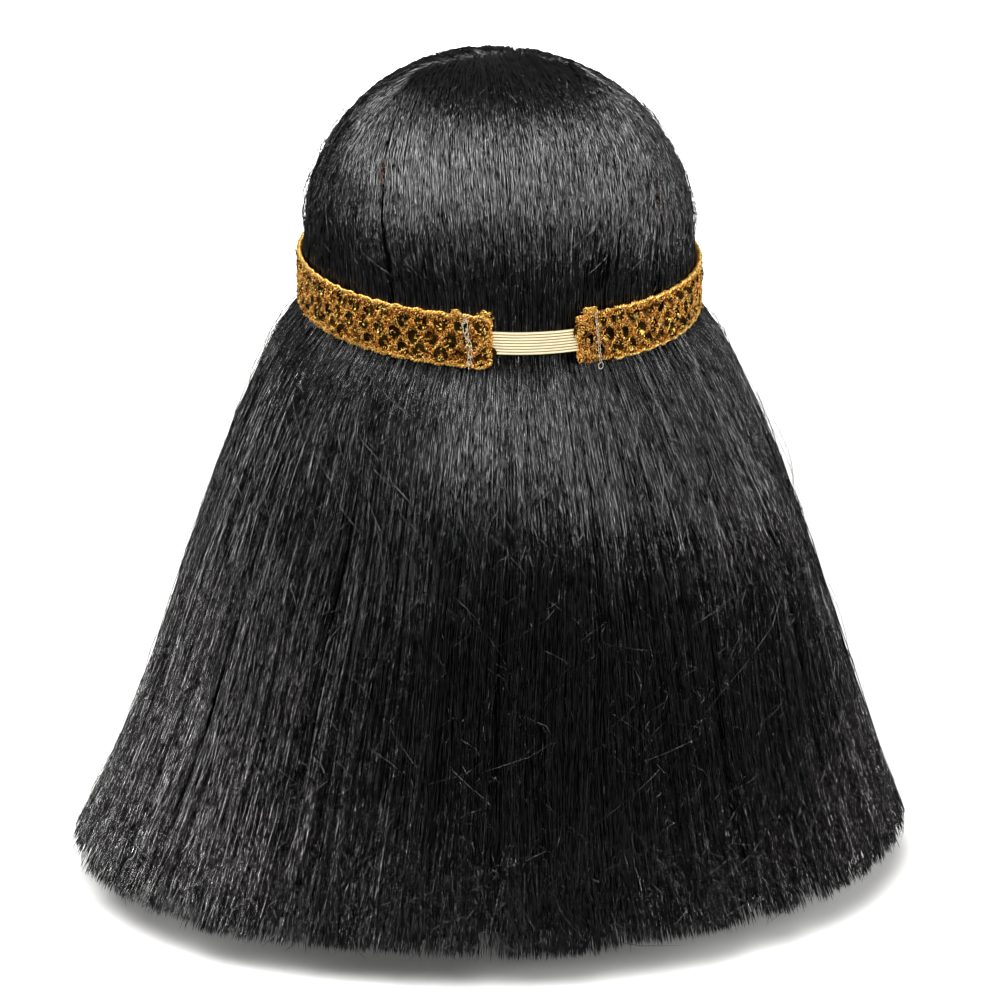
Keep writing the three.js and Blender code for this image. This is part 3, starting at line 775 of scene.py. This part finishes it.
def fold_rise(length):
    """How much the folded ends add to the braid's thickness."""
    from_end = np.minimum(length - BRAID_START, BRAID_END - length)
    return FOLD["rise"] * (1 - eased(from_end, FOLD["flat"] * FOLD["length"], FOLD["length"]))


def half_width(length):
    """Half the braid's width, which narrows where the folded ends are rounded."""
    from_end = np.minimum(length - BRAID_START, BRAID_END - length)
    rounding = BRAID_EDGE["rounding"] * np.clip(1 - from_end / BRAID_EDGE["over"], 0, 1) ** 2
    return BRAID_WIDTH / 2 - BRAID_EDGE["inset"] - rounding


def split(paths, knots=41):
    """Cuts long paths into shorter ones that meet, so that each gets its own place on the map."""
    starts = np.arange(0, paths.shape[1] - knots + 1, knots - 1)
    return np.concatenate([paths[:, start : start + knots] for start in starts])


ground = bmesh.new()
bmesh.ops.create_grid(ground, x_segments=GROUND_GRID["along"], y_segments=GROUND_GRID["across"], size=1.0)
ground_places = np.array([vert.co for vert in ground.verts])
ground_length = BRAID_START + (BRAID_END - BRAID_START) * (ground_places[:, 0] + 1) / 2
ground_height = ground_places[:, 1] * half_width(ground_length)
ground_out = BRAID_SEAT + GROUND_WALL + fold_rise(ground_length)
for vert, point in zip(ground.verts, band_points(ground_length, ground_height, ground_out)):
    vert.co = point
thicken(ground, GROUND_WALL)

# Twisted edge cords: two plies round each other, top and bottom. They wobble in a slow and a fast wave, in
# radians to the metre.
CORD_PITCH = 3.3 * MM
CORD_PLY = 0.42 * MM
CORD_TWIST = 0.54 * MM
CORD_KNOTS = 7
CORD_WOBBLE = {"by": 0.3 * MM, "slow": 640, "fast": 1130, "fast_share": 0.7}
cord_length = np.arange(BRAID_START, BRAID_END, CORD_PITCH / CORD_KNOTS)
cord_seat = BRAID_SEAT + BRAID_OUT["cords"] + fold_rise(cord_length)
cord_paths = []
for edge in (-1, 1):
    wobble = np.sin(CORD_WOBBLE["slow"] * cord_length)
    wobble = wobble + CORD_WOBBLE["fast_share"] * np.sin(CORD_WOBBLE["fast"] * cord_length + edge)
    cord_height = edge * (half_width(cord_length) + CORD_WOBBLE["by"] * wobble)
    for ply in (0, np.pi):
        twist = 2 * np.pi * cord_length / CORD_PITCH + ply
        height = cord_height + CORD_TWIST * np.cos(twist)
        cord_paths.append(band_points(cord_length, height, cord_seat + CORD_TWIST * np.sin(twist)))
cord_paths = split(np.stack(cord_paths))
cords = tubes(cord_paths, np.full(cord_paths.shape[:2], CORD_PLY), sides=4)

# Metallic yarn, coiled like a spring, runs in waves between the rows of sequins and holds them down. Its
# coils are looser in places, in a wave of radians to the metre and at random. The waves' middles and swings
# are in millimetres, and their shifts in radians.
YARN_PITCH = 1.15 * MM
YARN_KNOTS = 4
YARN_COIL = {"radius": 0.68 * MM, "flat": 0.8}
YARN_LOOSE = {"wave": 911, "by": 0.35, "random": 0.16}
YARN_WIRE = 0.24 * MM
YARN_END = 0.5 * MM
YARN_WAVES = (
    {"middle": -9.4, "swing": -1.0, "shift": 0.0},
    {"middle": -4.0, "swing": -2.5, "shift": 0.0},
    {"middle": -2.7, "swing": -2.5, "shift": 0.6},
    {"middle": 2.7, "swing": 2.5, "shift": 0.6},
    {"middle": 4.0, "swing": 2.5, "shift": 0.0},
    {"middle": 9.4, "swing": 1.0, "shift": 0.0},
)


def yarn_height(wave, length):
    """How high a yarn lies on the braid at a length."""
    swing = wave["swing"] * np.cos(2 * np.pi * (length - FIRST_SEQUIN) / SEQUIN_PITCH + wave["shift"])
    return MM * (wave["middle"] - swing)


yarn_length = np.arange(BRAID_START + YARN_END, BRAID_END - YARN_END, YARN_PITCH / YARN_KNOTS)
yarn_seat = BRAID_SEAT + BRAID_OUT["yarn"] + fold_rise(yarn_length)
yarn_paths = []
for wave in YARN_WAVES:
    coil = 2 * np.pi * yarn_length / YARN_PITCH + braid_rng.uniform(0, ANY_PHASE)
    waving = YARN_LOOSE["by"] * np.sin(yarn_length * YARN_LOOSE["wave"] + coil[0])
    loose = YARN_COIL["radius"] * (1 + waving + braid_rng.normal(0, YARN_LOOSE["random"], len(coil)))
    height = yarn_height(wave, yarn_length) + loose * np.cos(coil)
    out = yarn_seat + YARN_COIL["flat"] * loose * np.sin(coil)
    yarn_paths.append(band_points(yarn_length, height, out))
yarn_paths = split(np.stack(yarn_paths))
yarns = tubes(yarn_paths, np.full(yarn_paths.shape[:2], YARN_WIRE))

# Loops of yarn stand up between the sequins, most of them along its waves. Their sweep is in radians.
LOOP_SHAPE = {"sweep": (2.5, 4.6), "size": (0.6, 1.4), "stretch": (0.4, 1.2), "flat": 0.8, "knots": 5}
LOOP_COUNT = 2600
LOOP_SIZE = 0.85 * MM
LOOP_WIRE = 0.22 * MM
LOOP_SPREAD = {"up": 0.7 * MM, "out": 0.25 * MM}
LOOP_ASTRAY = {"share": 0.4, "height": 10 * MM}


def yarn_loops(rng, length, height, out, size, wire):
    """Small open loops of yarn that stand up at given places on the band."""
    each = (len(length), 1)
    sweep = np.linspace(0, 1, LOOP_SHAPE["knots"])[None] * rng.uniform(*LOOP_SHAPE["sweep"], each)
    sweep = sweep + rng.uniform(0, ANY_PHASE, each)
    size = size * rng.uniform(*LOOP_SHAPE["size"], each)
    stretch = rng.uniform(*LOOP_SHAPE["stretch"], each)
    along = length[:, None] + size * np.cos(sweep)
    up = height[:, None] + size * stretch * np.sin(sweep)
    off = out[:, None] + LOOP_SHAPE["flat"] * size * np.sin(sweep + rng.uniform(0, ANY_PHASE, each))
    paths = band_points(along, up, off)
    return tubes(paths, np.full(paths.shape[:2], wire))


loop_length = braid_rng.uniform(BRAID_START + YARN_END, BRAID_END - YARN_END, LOOP_COUNT)
loop_wave = braid_rng.integers(0, len(YARN_WAVES), LOOP_COUNT)
loop_height = np.select(
    [loop_wave == k for k in range(len(YARN_WAVES))],
    [yarn_height(wave, loop_length) for wave in YARN_WAVES],
) + braid_rng.normal(0, LOOP_SPREAD["up"], LOOP_COUNT)
loop_astray = braid_rng.random(LOOP_COUNT) < LOOP_ASTRAY["share"]
astray_height = braid_rng.uniform(-LOOP_ASTRAY["height"], LOOP_ASTRAY["height"], LOOP_COUNT)
loop_height = np.where(loop_astray, astray_height, loop_height)
loop_height = np.clip(loop_height, -half_width(loop_length), half_width(loop_length))
loop_out = BRAID_SEAT + BRAID_OUT["loops"] + fold_rise(loop_length)
loop_out = loop_out + braid_rng.normal(0, LOOP_SPREAD["out"], LOOP_COUNT)
loops = yarn_loops(braid_rng, loop_length, loop_height, loop_out, LOOP_SIZE, LOOP_WIRE)

# Frayed yarn bulges round the two folded ends, with brighter tufts at their tops.
FRAY = {"count": 230, "back": 0.8 * MM, "outs": (0.6 * MM, 2.8 * MM), "size": 0.9 * MM, "wire": 0.24 * MM}
end_bundles = []
for end, inward in ((BRAID_START, 1), (BRAID_END, -1)):
    length = end + inward * np.abs(braid_rng.normal(0, FRAY["back"], FRAY["count"]))
    height = braid_rng.uniform(-1, 1, FRAY["count"]) * half_width(length)
    out = BRAID_SEAT + braid_rng.uniform(*FRAY["outs"], FRAY["count"])
    end_bundles.append(yarn_loops(braid_rng, length, height, out, FRAY["size"], FRAY["wire"]))
TUFT = {"spread": 0.5, "heights": (-1.0 * MM, 1.4 * MM), "outs": (0.8 * MM, 2.4 * MM), "size": 1.0 * MM}
TUFTS = (
    {"length": BRAID_START + 15 * MM, "wide": 1.6 * MM, "count": 26},
    {"length": BRAID_END - 5.5 * MM, "wide": 3.2 * MM, "count": 60},
    {"length": BRAID_START + 2.5 * MM, "wide": 1.8 * MM, "count": 30},
)
tuft_bundles = []
for tuft in TUFTS:
    length = tuft["length"] + braid_rng.normal(0, TUFT["spread"], tuft["count"]) * tuft["wide"]
    height = BRAID_WIDTH / 2 + braid_rng.uniform(*TUFT["heights"], tuft["count"])
    out = BRAID_SEAT + braid_rng.uniform(*TUFT["outs"], tuft["count"])
    tuft_bundles.append(yarn_loops(braid_rng, length, height, out, TUFT["size"], LOOP_WIRE))

# Cup sequins: thin dished discs with a turned edge and a hole in the middle. The rings are each a radius and
# a height, and one more sequin lies on each folded end.
SEQUIN_SIDES = 13
SEQUIN_RINGS = MM * np.array([(0.55, 0.0), (1.5, 0.06), (2.45, 0.3), (2.95, 0.62), (3.2, 0.72)])
SEQUIN_SKIN = 0.12 * MM
SEQUIN_ASTRAY = {"along": 0.8 * MM, "up": 0.55 * MM, "tilt": 0.14}
SEQUIN_MARGIN = 3 * MM
END_SEQUIN_INSET = 0.5 * MM
END_SEQUIN_HEIGHTS = [-4.4 * MM, 3.6 * MM]


def sequin_discs(rng, lengths, heights, outs, tilt):
    """Sequins on the band at given places, each tilted a little its own way. Gives vertices and faces."""
    count = len(lengths)
    rings = np.concatenate([SEQUIN_RINGS, SEQUIN_RINGS[::-2] - [0, SEQUIN_SKIN]])
    spoke = 2 * np.pi / SEQUIN_SIDES * np.arange(SEQUIN_SIDES)
    one = np.stack(
        [
            np.outer(rings[:, 0], np.cos(spoke)),
            np.outer(rings[:, 0], np.sin(spoke)),
            np.repeat(rings[:, 1:], SEQUIN_SIDES, 1),
        ],
        -1,
    ).reshape(-1, 3)
    tip, roll = rng.normal(0, tilt, (2, count, 1))
    x, y, z = one.T[:, None] + np.zeros((1, count, 1))
    along = lengths[:, None] + x
    up = heights[:, None] + y
    off = outs[:, None] + z + x * np.sin(tip) + y * np.sin(roll)
    ring_count = len(rings)
    ring = np.arange(ring_count)[:, None]
    spot = np.arange(SEQUIN_SIDES)
    after, above = (spot + 1) % SEQUIN_SIDES, (ring + 1) % ring_count
    here, there = ring * SEQUIN_SIDES, above * SEQUIN_SIDES
    faces = np.stack([here + spot, there + spot, there + after, here + after], -1).reshape(-1, 4)
    faces = faces[None] + len(one) * np.arange(count)[:, None, None]
    return band_points(along, up, off).reshape(-1, 3), faces.reshape(-1, 4)


sequin_lengths, sequin_heights = [], []
for row, row_height in enumerate(SEQUIN_ROWS):
    row_start = FIRST_SEQUIN + (row % 2) * SEQUIN_PITCH / 2
    places = np.arange(row_start, BRAID_END - SEQUIN_MARGIN, SEQUIN_PITCH)
    sequin_lengths.append(places + braid_rng.normal(0, SEQUIN_ASTRAY["along"], len(places)))
    sequin_heights.append(row_height + braid_rng.normal(0, SEQUIN_ASTRAY["up"], len(places)))
end_sequin_lengths = [BRAID_START + END_SEQUIN_INSET, BRAID_END - END_SEQUIN_INSET]
sequin_lengths = np.concatenate(sequin_lengths + [end_sequin_lengths])
sequin_heights = np.concatenate(sequin_heights + [END_SEQUIN_HEIGHTS])
sequin_outs = BRAID_SEAT + BRAID_OUT["sequins"] + fold_rise(sequin_lengths)
sequin_points, sequin_faces = sequin_discs(
    braid_rng, sequin_lengths, sequin_heights, sequin_outs, SEQUIN_ASTRAY["tilt"]
)
sequin_mesh = bpy.data.meshes.new("cup_sequins")
sequin_mesh.from_pydata(sequin_points.tolist(), [], sequin_faces.tolist())
sequin_mesh.polygons.foreach_set("use_smooth", np.ones(len(sequin_faces), bool))

# The size of the painted glints and shade on the gold films.
PAINTED_GLINT_SIZE = 0.7 * MM


def metallic_yarn(name, stops, **settings):
    """Flat metal film wound on yarn, whose colour changes within a millimetre: gold and orange, with painted
    glints at its brightest stops and painted shade at its darkest.
    """
    material, shader = new_material(name, **settings)
    place = add_node(material, "TexCoord").outputs["Object"]
    noise_inputs = {"Vector": place, "Scale": 1 / PAINTED_GLINT_SIZE, "Detail": 1.0}
    noise = add_node(material, "TexNoise", noise_inputs).outputs["Fac"]
    colour = add_node(material, "ValToRGB", {"Fac": noise}, stops).outputs["Color"]
    material.node_tree.links.new(colour, shader.inputs["Base Color"])
    return material


# Metal film on the coiled yarn: orange gold, with painted glints in bright yellow and painted shade in deep
# brown, at random within a millimetre.
yarn_gold_and_glint_stops = [(0.36, "#2c0e02"), (0.44, "#cc5a06"), (0.51, "#ffa81a"), (0.59, "#ffe88c")]
gold_yarn = metallic_yarn("gold metallic yarn", yarn_gold_and_glint_stops, Metallic=0.4, Roughness=0.26)

# The same film on the tighter edge cords: lighter and more even, gold with painted glints in pale yellow and
# painted shade in brown.
cord_gold_and_glint_stops = [(0.34, "#8e4c0a"), (0.47, "#e8a424"), (0.6, "#ffe890")]
gold_cord = metallic_yarn("bright gold metallic cord", cord_gold_and_glint_stops, Metallic=0.55, Roughness=0.4)

# The ground is brown gold weave that mostly lies in shade under the yarn. Its colour is painted with shade
# in near black and glints in pale yellow, at random within a millimetre.
WEAVE_RISE = 0.4 * MM
weave, weave_shader = new_material("brown gold woven ground", Metallic=0.5, Roughness=0.4)
weave_place = add_node(weave, "TexCoord").outputs["Object"]
weave_inputs = {"Vector": weave_place, "Scale": 1 / PAINTED_GLINT_SIZE, "Detail": 2.0}
weave_noise = add_node(weave, "TexNoise", weave_inputs).outputs["Fac"]
weave_gold_and_glint_stops = [(0.38, "#160802"), (0.5, "#6a3408"), (0.6, "#d8921e"), (0.7, "#ffe08a")]
weave_colour = add_node(weave, "ValToRGB", {"Fac": weave_noise}, weave_gold_and_glint_stops).outputs["Color"]
weave_bump = add_node(weave, "Bump", {"Height": weave_noise, "Strength": 0.8, "Distance": WEAVE_RISE})
weave.node_tree.links.new(weave_colour, weave_shader.inputs["Base Color"])
weave.node_tree.links.new(weave_bump.outputs["Normal"], weave_shader.inputs["Normal"])

# Gold-coated plastic discs: a dark mirror in the cup, with a bright line where the edge turns up.
FILM_PATCH = 7 * MM
film, film_shader = new_material("gold coated sequin film", Metallic=1.0, Roughness=0.14)
film_place = add_node(film, "TexCoord").outputs["Object"]
film_inputs = {"Vector": film_place, "Scale": 1 / FILM_PATCH, "Detail": 1.0}
film_noise = add_node(film, "TexNoise", film_inputs).outputs["Fac"]
film_stops = [(0.35, "#332a10"), (0.65, "#84692e")]
film_colour = add_node(film, "ValToRGB", {"Fac": film_noise}, film_stops).outputs["Color"]
film.node_tree.links.new(film_colour, film_shader.inputs["Base Color"])

add_piece("braid_ground", mesh_of(ground, "braid_ground"), weave, "sequin_braid", "headband_braid")
add_piece("braid_sequins", sequin_mesh, film, "sequin_braid")
yarn_mesh = joined("braid_yarn", [yarns, loops] + end_bundles, braid_rng)
add_piece("braid_yarn", yarn_mesh, gold_yarn, "sequin_braid")
cord_mesh = joined("braid_edge_cords", [cords] + tuft_bundles, braid_rng)
add_piece("braid_edge_cords", cord_mesh, gold_cord, "sequin_braid")

# Fold stitches
# White polyester thread holds down the folded ends: a loose tangle on one, a straight double row with a loop
# at its foot on the other.
THREAD_WIDTH = 0.24 * MM
THREAD_KNOTS = 61
THREAD_OUT = BRAID_SEAT + 3.1 * MM
TANGLE_IN = 9.5 * MM
TANGLE_WANDER = {"step": 0.75 * MM, "share": 0.3, "jitter": 0.45 * MM, "out": 0.25 * MM}
TANGLE_FALL = {"top": 11.4 * MM, "drop": 22.6 * MM, "sway": 1.3 * MM, "waves": 40, "shifts": [[0.0], [2.1]]}
ROW_IN = MM * np.array([[7.2], [7.9]])
ROW_FALL = {"top": 11.6 * MM, "drop": 23.4 * MM, "slant": 2.6 * MM, "jitter": 0.1 * MM}
ROW_STITCH = {"sunk": 0.2 * MM, "rise": 0.25 * MM, "waves": 52, "shifts": [[0.0], [1.6]]}
FOOT_LOOP = {"in": 10.2 * MM, "wide": 1.1 * MM, "height": -12.6 * MM, "tall": 1.5 * MM, "sunk": 0.4 * MM}
FOOT_SWEEP = np.linspace(0.6, 5.6, 24)
thread_rng = np.random.default_rng(7)
thread_way = np.linspace(0, 1, THREAD_KNOTS)
pair = (2, THREAD_KNOTS)
tangle_steps = np.cumsum(thread_rng.normal(0, TANGLE_WANDER["step"], pair), 1)
tangle_length = TANGLE_WANDER["share"] * (tangle_steps - tangle_steps.mean(1, keepdims=True))
tangle_length = BRAID_START + TANGLE_IN + tangle_length + thread_rng.normal(0, TANGLE_WANDER["jitter"], pair)
tangle_sway = TANGLE_FALL["sway"] * np.sin(TANGLE_FALL["waves"] * thread_way + TANGLE_FALL["shifts"])
tangle_height = TANGLE_FALL["top"] - TANGLE_FALL["drop"] * thread_way + tangle_sway
tangle_out = THREAD_OUT + thread_rng.normal(0, TANGLE_WANDER["out"], pair)
tangle = band_points(tangle_length, tangle_height, tangle_out)
row_length = BRAID_END - ROW_IN - ROW_FALL["slant"] * thread_way
row_length = row_length + thread_rng.normal(0, ROW_FALL["jitter"], pair)
row_height = ROW_FALL["top"] - ROW_FALL["drop"] * thread_way
row_rise = ROW_STITCH["rise"] * np.sin(ROW_STITCH["waves"] * thread_way + ROW_STITCH["shifts"])
rows = band_points(row_length, row_height, THREAD_OUT - ROW_STITCH["sunk"] + row_rise)
foot_length = BRAID_END - FOOT_LOOP["in"] - FOOT_LOOP["wide"] * np.sin(FOOT_SWEEP)
foot_height = FOOT_LOOP["height"] + FOOT_LOOP["tall"] * np.cos(FOOT_SWEEP)
foot = band_points(foot_length, foot_height, THREAD_OUT - FOOT_LOOP["sunk"])[None]
thread_bundles = [
    tubes(path, np.full(path.shape[:2], THREAD_WIDTH / 2), sides=5) for path in (tangle, rows, foot)
]

# Spun polyester: white, with painted shade in bands along its twist, warm where it is darkest.
THREAD_TWIST = 0.9 * MM
thread, thread_shader = new_material("white polyester thread", Roughness=0.55)
thread_along = add_node(thread, "Attribute", attribute_name="along").outputs["Fac"]
twist_inputs = {0: thread_along, 1: 1 / THREAD_TWIST}
thread_twist = add_node(thread, "Math", twist_inputs, operation="MULTIPLY").outputs[0]
# Painted shade: darker where the plies turn away along the twist.
thread_twist_shade = add_node(thread, "Math", {0: thread_twist, 1: 1.0}, operation="PINGPONG").outputs[0]
thread_shade_stops = [(0.1, "#a89878"), (0.6, "#d8d2c6")]
thread_colour = add_node(thread, "ValToRGB", {"Fac": thread_twist_shade}, thread_shade_stops).outputs["Color"]
thread.node_tree.links.new(thread_colour, thread_shader.inputs["Base Color"])
add_piece("fold_stitches", joined("fold_stitches", thread_bundles, thread_rng), thread, "sequin_braid")

# Headband elastic
# Flat cream elastic of eight rubber cords in a cotton cover. Its ends are sewn under the folds of the braid,
# and it sags a little between them behind the head.
ELASTIC_WIDTH = 10 * MM
ELASTIC_CORDS = 8
ELASTIC_WALL = 0.6 * MM
ELASTIC_OUT = 1.2 * MM
ELASTIC_UNDER = 1.5 * MM
ELASTIC_SAG = 0.3 * MM
ELASTIC_GRID = {"along": 24, "each_cord": 8}
CORD_RISE = 0.55 * MM
CORD_ROUNDNESS = 0.6
elastic_half = ELASTIC_SHOWN / 2 + ELASTIC_UNDER
elastic_sheet = bmesh.new()
elastic_rows = ELASTIC_GRID["each_cord"] * ELASTIC_CORDS
bmesh.ops.create_grid(elastic_sheet, x_segments=ELASTIC_GRID["along"], y_segments=elastic_rows, size=1.0)
elastic_places = np.array([vert.co for vert in elastic_sheet.verts])
elastic_length = elastic_places[:, 0] * elastic_half
elastic_height = elastic_places[:, 1] * ELASTIC_WIDTH / 2 - ELASTIC_SAG * (1 - elastic_places[:, 0] ** 2)
cord_phase = (elastic_places[:, 1] + 1) / 2 * ELASTIC_CORDS % 1
elastic_out = ELASTIC_OUT + ELASTIC_WALL + CORD_RISE * np.sin(np.pi * cord_phase) ** CORD_ROUNDNESS
for vert, point in zip(elastic_sheet.verts, band_points(elastic_length, elastic_height, elastic_out)):
    vert.co = point
thicken(elastic_sheet, ELASTIC_WALL)
# Each point's place across the strip, for its colour, which paints shade in the grooves between cords. The
# dip at the nape is nearly one cord's width, so the grooves fall in the same places without it.
across_cords = elastic_sheet.verts.layers.float.new("across")
elastic_sheet.verts.ensure_lookup_table()
for vert in elastic_sheet.verts:
    arc = np.interp(math.atan2(vert.co.x / CROWN[0], vert.co.y / CROWN[1]), band_turns, band_lengths)
    sag = ELASTIC_SAG * (1 - (arc / elastic_half) ** 2)
    vert[across_cords] = (vert.co.z - WIDEST_Z + BRAID_DROP + sag) / ELASTIC_WIDTH + 0.5

# Cotton-covered rubber: creamy and soft, with painted shade in the grooves between cords, and fine cross
# threads.
COVER_THREAD = 0.6 * MM
COVER_RISE = 0.15 * MM
elastic, elastic_shader = new_material("cream covered elastic", Roughness=0.5)
elastic_across = add_node(elastic, "Attribute", attribute_name="across").outputs["Fac"]
cord_inputs = {0: elastic_across, 1: 2.0 * ELASTIC_CORDS}
elastic_cord = add_node(elastic, "Math", cord_inputs, operation="MULTIPLY").outputs[0]
# Painted shade: dark brown in the grooves, cream on the cords.
elastic_groove_shade = add_node(elastic, "Math", {0: elastic_cord, 1: 1.0}, operation="PINGPONG").outputs[0]
elastic_shade_stops = [(0.0, "#3a2810"), (0.2, "#a8905e"), (0.5, "#dac9a0"), (1.0, "#e8dabb")]
elastic_colour = add_node(elastic, "ValToRGB", {"Fac": elastic_groove_shade}, elastic_shade_stops).outputs["Color"]
elastic_place = add_node(elastic, "TexCoord").outputs["Object"]
cover_inputs = {"Vector": elastic_place, "Scale": 1 / COVER_THREAD}
elastic_cover = add_node(elastic, "TexNoise", cover_inputs).outputs["Fac"]
elastic_bump = add_node(elastic, "Bump", {"Height": elastic_cover, "Strength": 0.4, "Distance": COVER_RISE})
elastic.node_tree.links.new(elastic_colour, elastic_shader.inputs["Base Color"])
elastic.node_tree.links.new(elastic_bump.outputs["Normal"], elastic_shader.inputs["Normal"])
elastic_mesh = mesh_of(elastic_sheet, "headband_elastic_cords")
add_piece("headband_elastic_cords", elastic_mesh, elastic, "elastic", "headband_elastic")

# Studio
# A pale floor under the hem, a large soft light overhead, a weaker one at the right, narrow gridded ones low
# and halfway up at both sides and behind the hem, and one that only lights the floor behind.
FLOOR_DROP = 14 * MM
FLOOR_SIZE = 14.0
floor_mesh = bmesh.new()
bmesh.ops.create_grid(floor_mesh, x_segments=1, y_segments=1, size=FLOOR_SIZE / 2)
bmesh.ops.translate(floor_mesh, vec=(0, 0, cad_low.z - FLOOR_DROP), verts=floor_mesh.verts)
# Matt paper: nearly white, and its shine too spread to show.
paper = new_material("pale studio paper", Roughness=0.9, Base_Color=linear("#f6f5f3"))[0]
floor = bpy.data.objects.new("studio_floor", mesh_of(floor_mesh, "studio_floor", smooth=False))
floor.data.materials.append(paper)
bpy.context.scene.collection.objects.link(floor)
floor.visible_glossy = False

CAMERA_AZIMUTH = 172
CAMERA_ELEVATION = 18
CAMERA_DISTANCE = 1.9
CAMERA_TARGET = Vector((-0.6 * MM, 0, -196.3 * MM))
FRAME_WIDTH = 455 * MM


def around(azimuth, elevation, distance):
    """A place round the wig: azimuth 0 is in front of the face, 180 behind the head."""
    a, e = math.radians(azimuth), math.radians(elevation)
    away = Vector((math.sin(a) * math.cos(e), -math.cos(a) * math.cos(e), math.sin(e)))
    return CAMERA_TARGET + away * distance


def aimed(name, data, place, target):
    """An object at a place, looking at a target."""
    made = bpy.data.objects.new(name, data)
    made.location = place
    made.rotation_euler = (target - place).to_track_quat("-Z", "Y").to_euler()
    bpy.context.scene.collection.objects.link(made)
    return made


def soft_light(name, radiance, size, place, target, spread=180):
    """A rectangular soft light of a given brightness, which a grid of slats can narrow to a spread."""
    data = bpy.data.lights.new(name, "AREA")
    data.shape = "RECTANGLE"
    data.size, data.size_y = size
    data.spread = math.radians(spread)
    narrowed = 1 - data.spread / 2 / math.tan(data.spread / 2)
    data.energy = math.pi * size[0] * size[1] * radiance * narrowed
    return aimed(name, data, place, target)


def side_light(name, radiance, size, place, aim, spread):
    """A gridded soft light at an azimuth, elevation and distance, aimed at a height on the wig's axis."""
    return soft_light(name, radiance, size, around(*place), Vector((0, 0, aim)), spread)


# Each light has its brightness in watts to the square metre and steradian, its size in metres, where it
# stands, where it points, and its spread in degrees.
LOW_AIM = -445 * MM
HEM_LIGHT = {"place": Vector((0.17, 1.19, cad_low.z + 40 * MM)), "aim": Vector((0, 0, cad_low.z + 6 * MM))}
soft_light("overhead_light", 7.3, (1.35, 1.6), Vector((0.38, 0.58, 1.0)), Vector((0.38, 0.58, 0)))
side_light("low_left_light", 62.0, (1.15, 0.21), (95, -3.9, 1.3), LOW_AIM, 26)
side_light("mid_left_light", 24.0, (0.7, 0.14), (76, 2, 1.3), -357 * MM, 26)
side_light("left_light", 22.0, (0.7, 0.36), (76, 14, 1.3), -279 * MM, 24)
soft_light("right_light", 5.5, (1.1, 0.85), around(232, 30, 2.0), CAMERA_TARGET)
side_light("mid_right_light", 36.0, (0.9, 0.3), (244, 11, 1.3), -301 * MM, 22)
side_light("low_right_light", 62.0, (0.95, 0.14), (268, -3.9, 1.4), LOW_AIM, 26)
soft_light("hem_light", 36.0, (0.9, 0.1), HEM_LIGHT["place"], HEM_LIGHT["aim"], spread=8)
soft_light("floor_light", 62.0, (6.0, 3.0), Vector((-0.4, -2.6, 1.6)), Vector((-0.4, -2.6, 0)), spread=52)

SKY_STRENGTH = 0.11
world = bpy.data.worlds.new("studio")
world.use_nodes = True
bpy.context.scene.world = world
sky = world.node_tree.nodes["Background"]
sky.inputs["Color"].default_value = (1, 1, 1, 1)
sky.inputs["Strength"].default_value = SKY_STRENGTH
bpy.context.scene.view_settings.view_transform = "Standard"

lens = bpy.data.cameras.new("camera")
lens.sensor_width = 36
lens.lens = lens.sensor_width * CAMERA_DISTANCE / FRAME_WIDTH
camera = aimed("camera", lens, around(CAMERA_AZIMUTH, CAMERA_ELEVATION, CAMERA_DISTANCE), CAMERA_TARGET)
bpy.context.scene.camera = camera
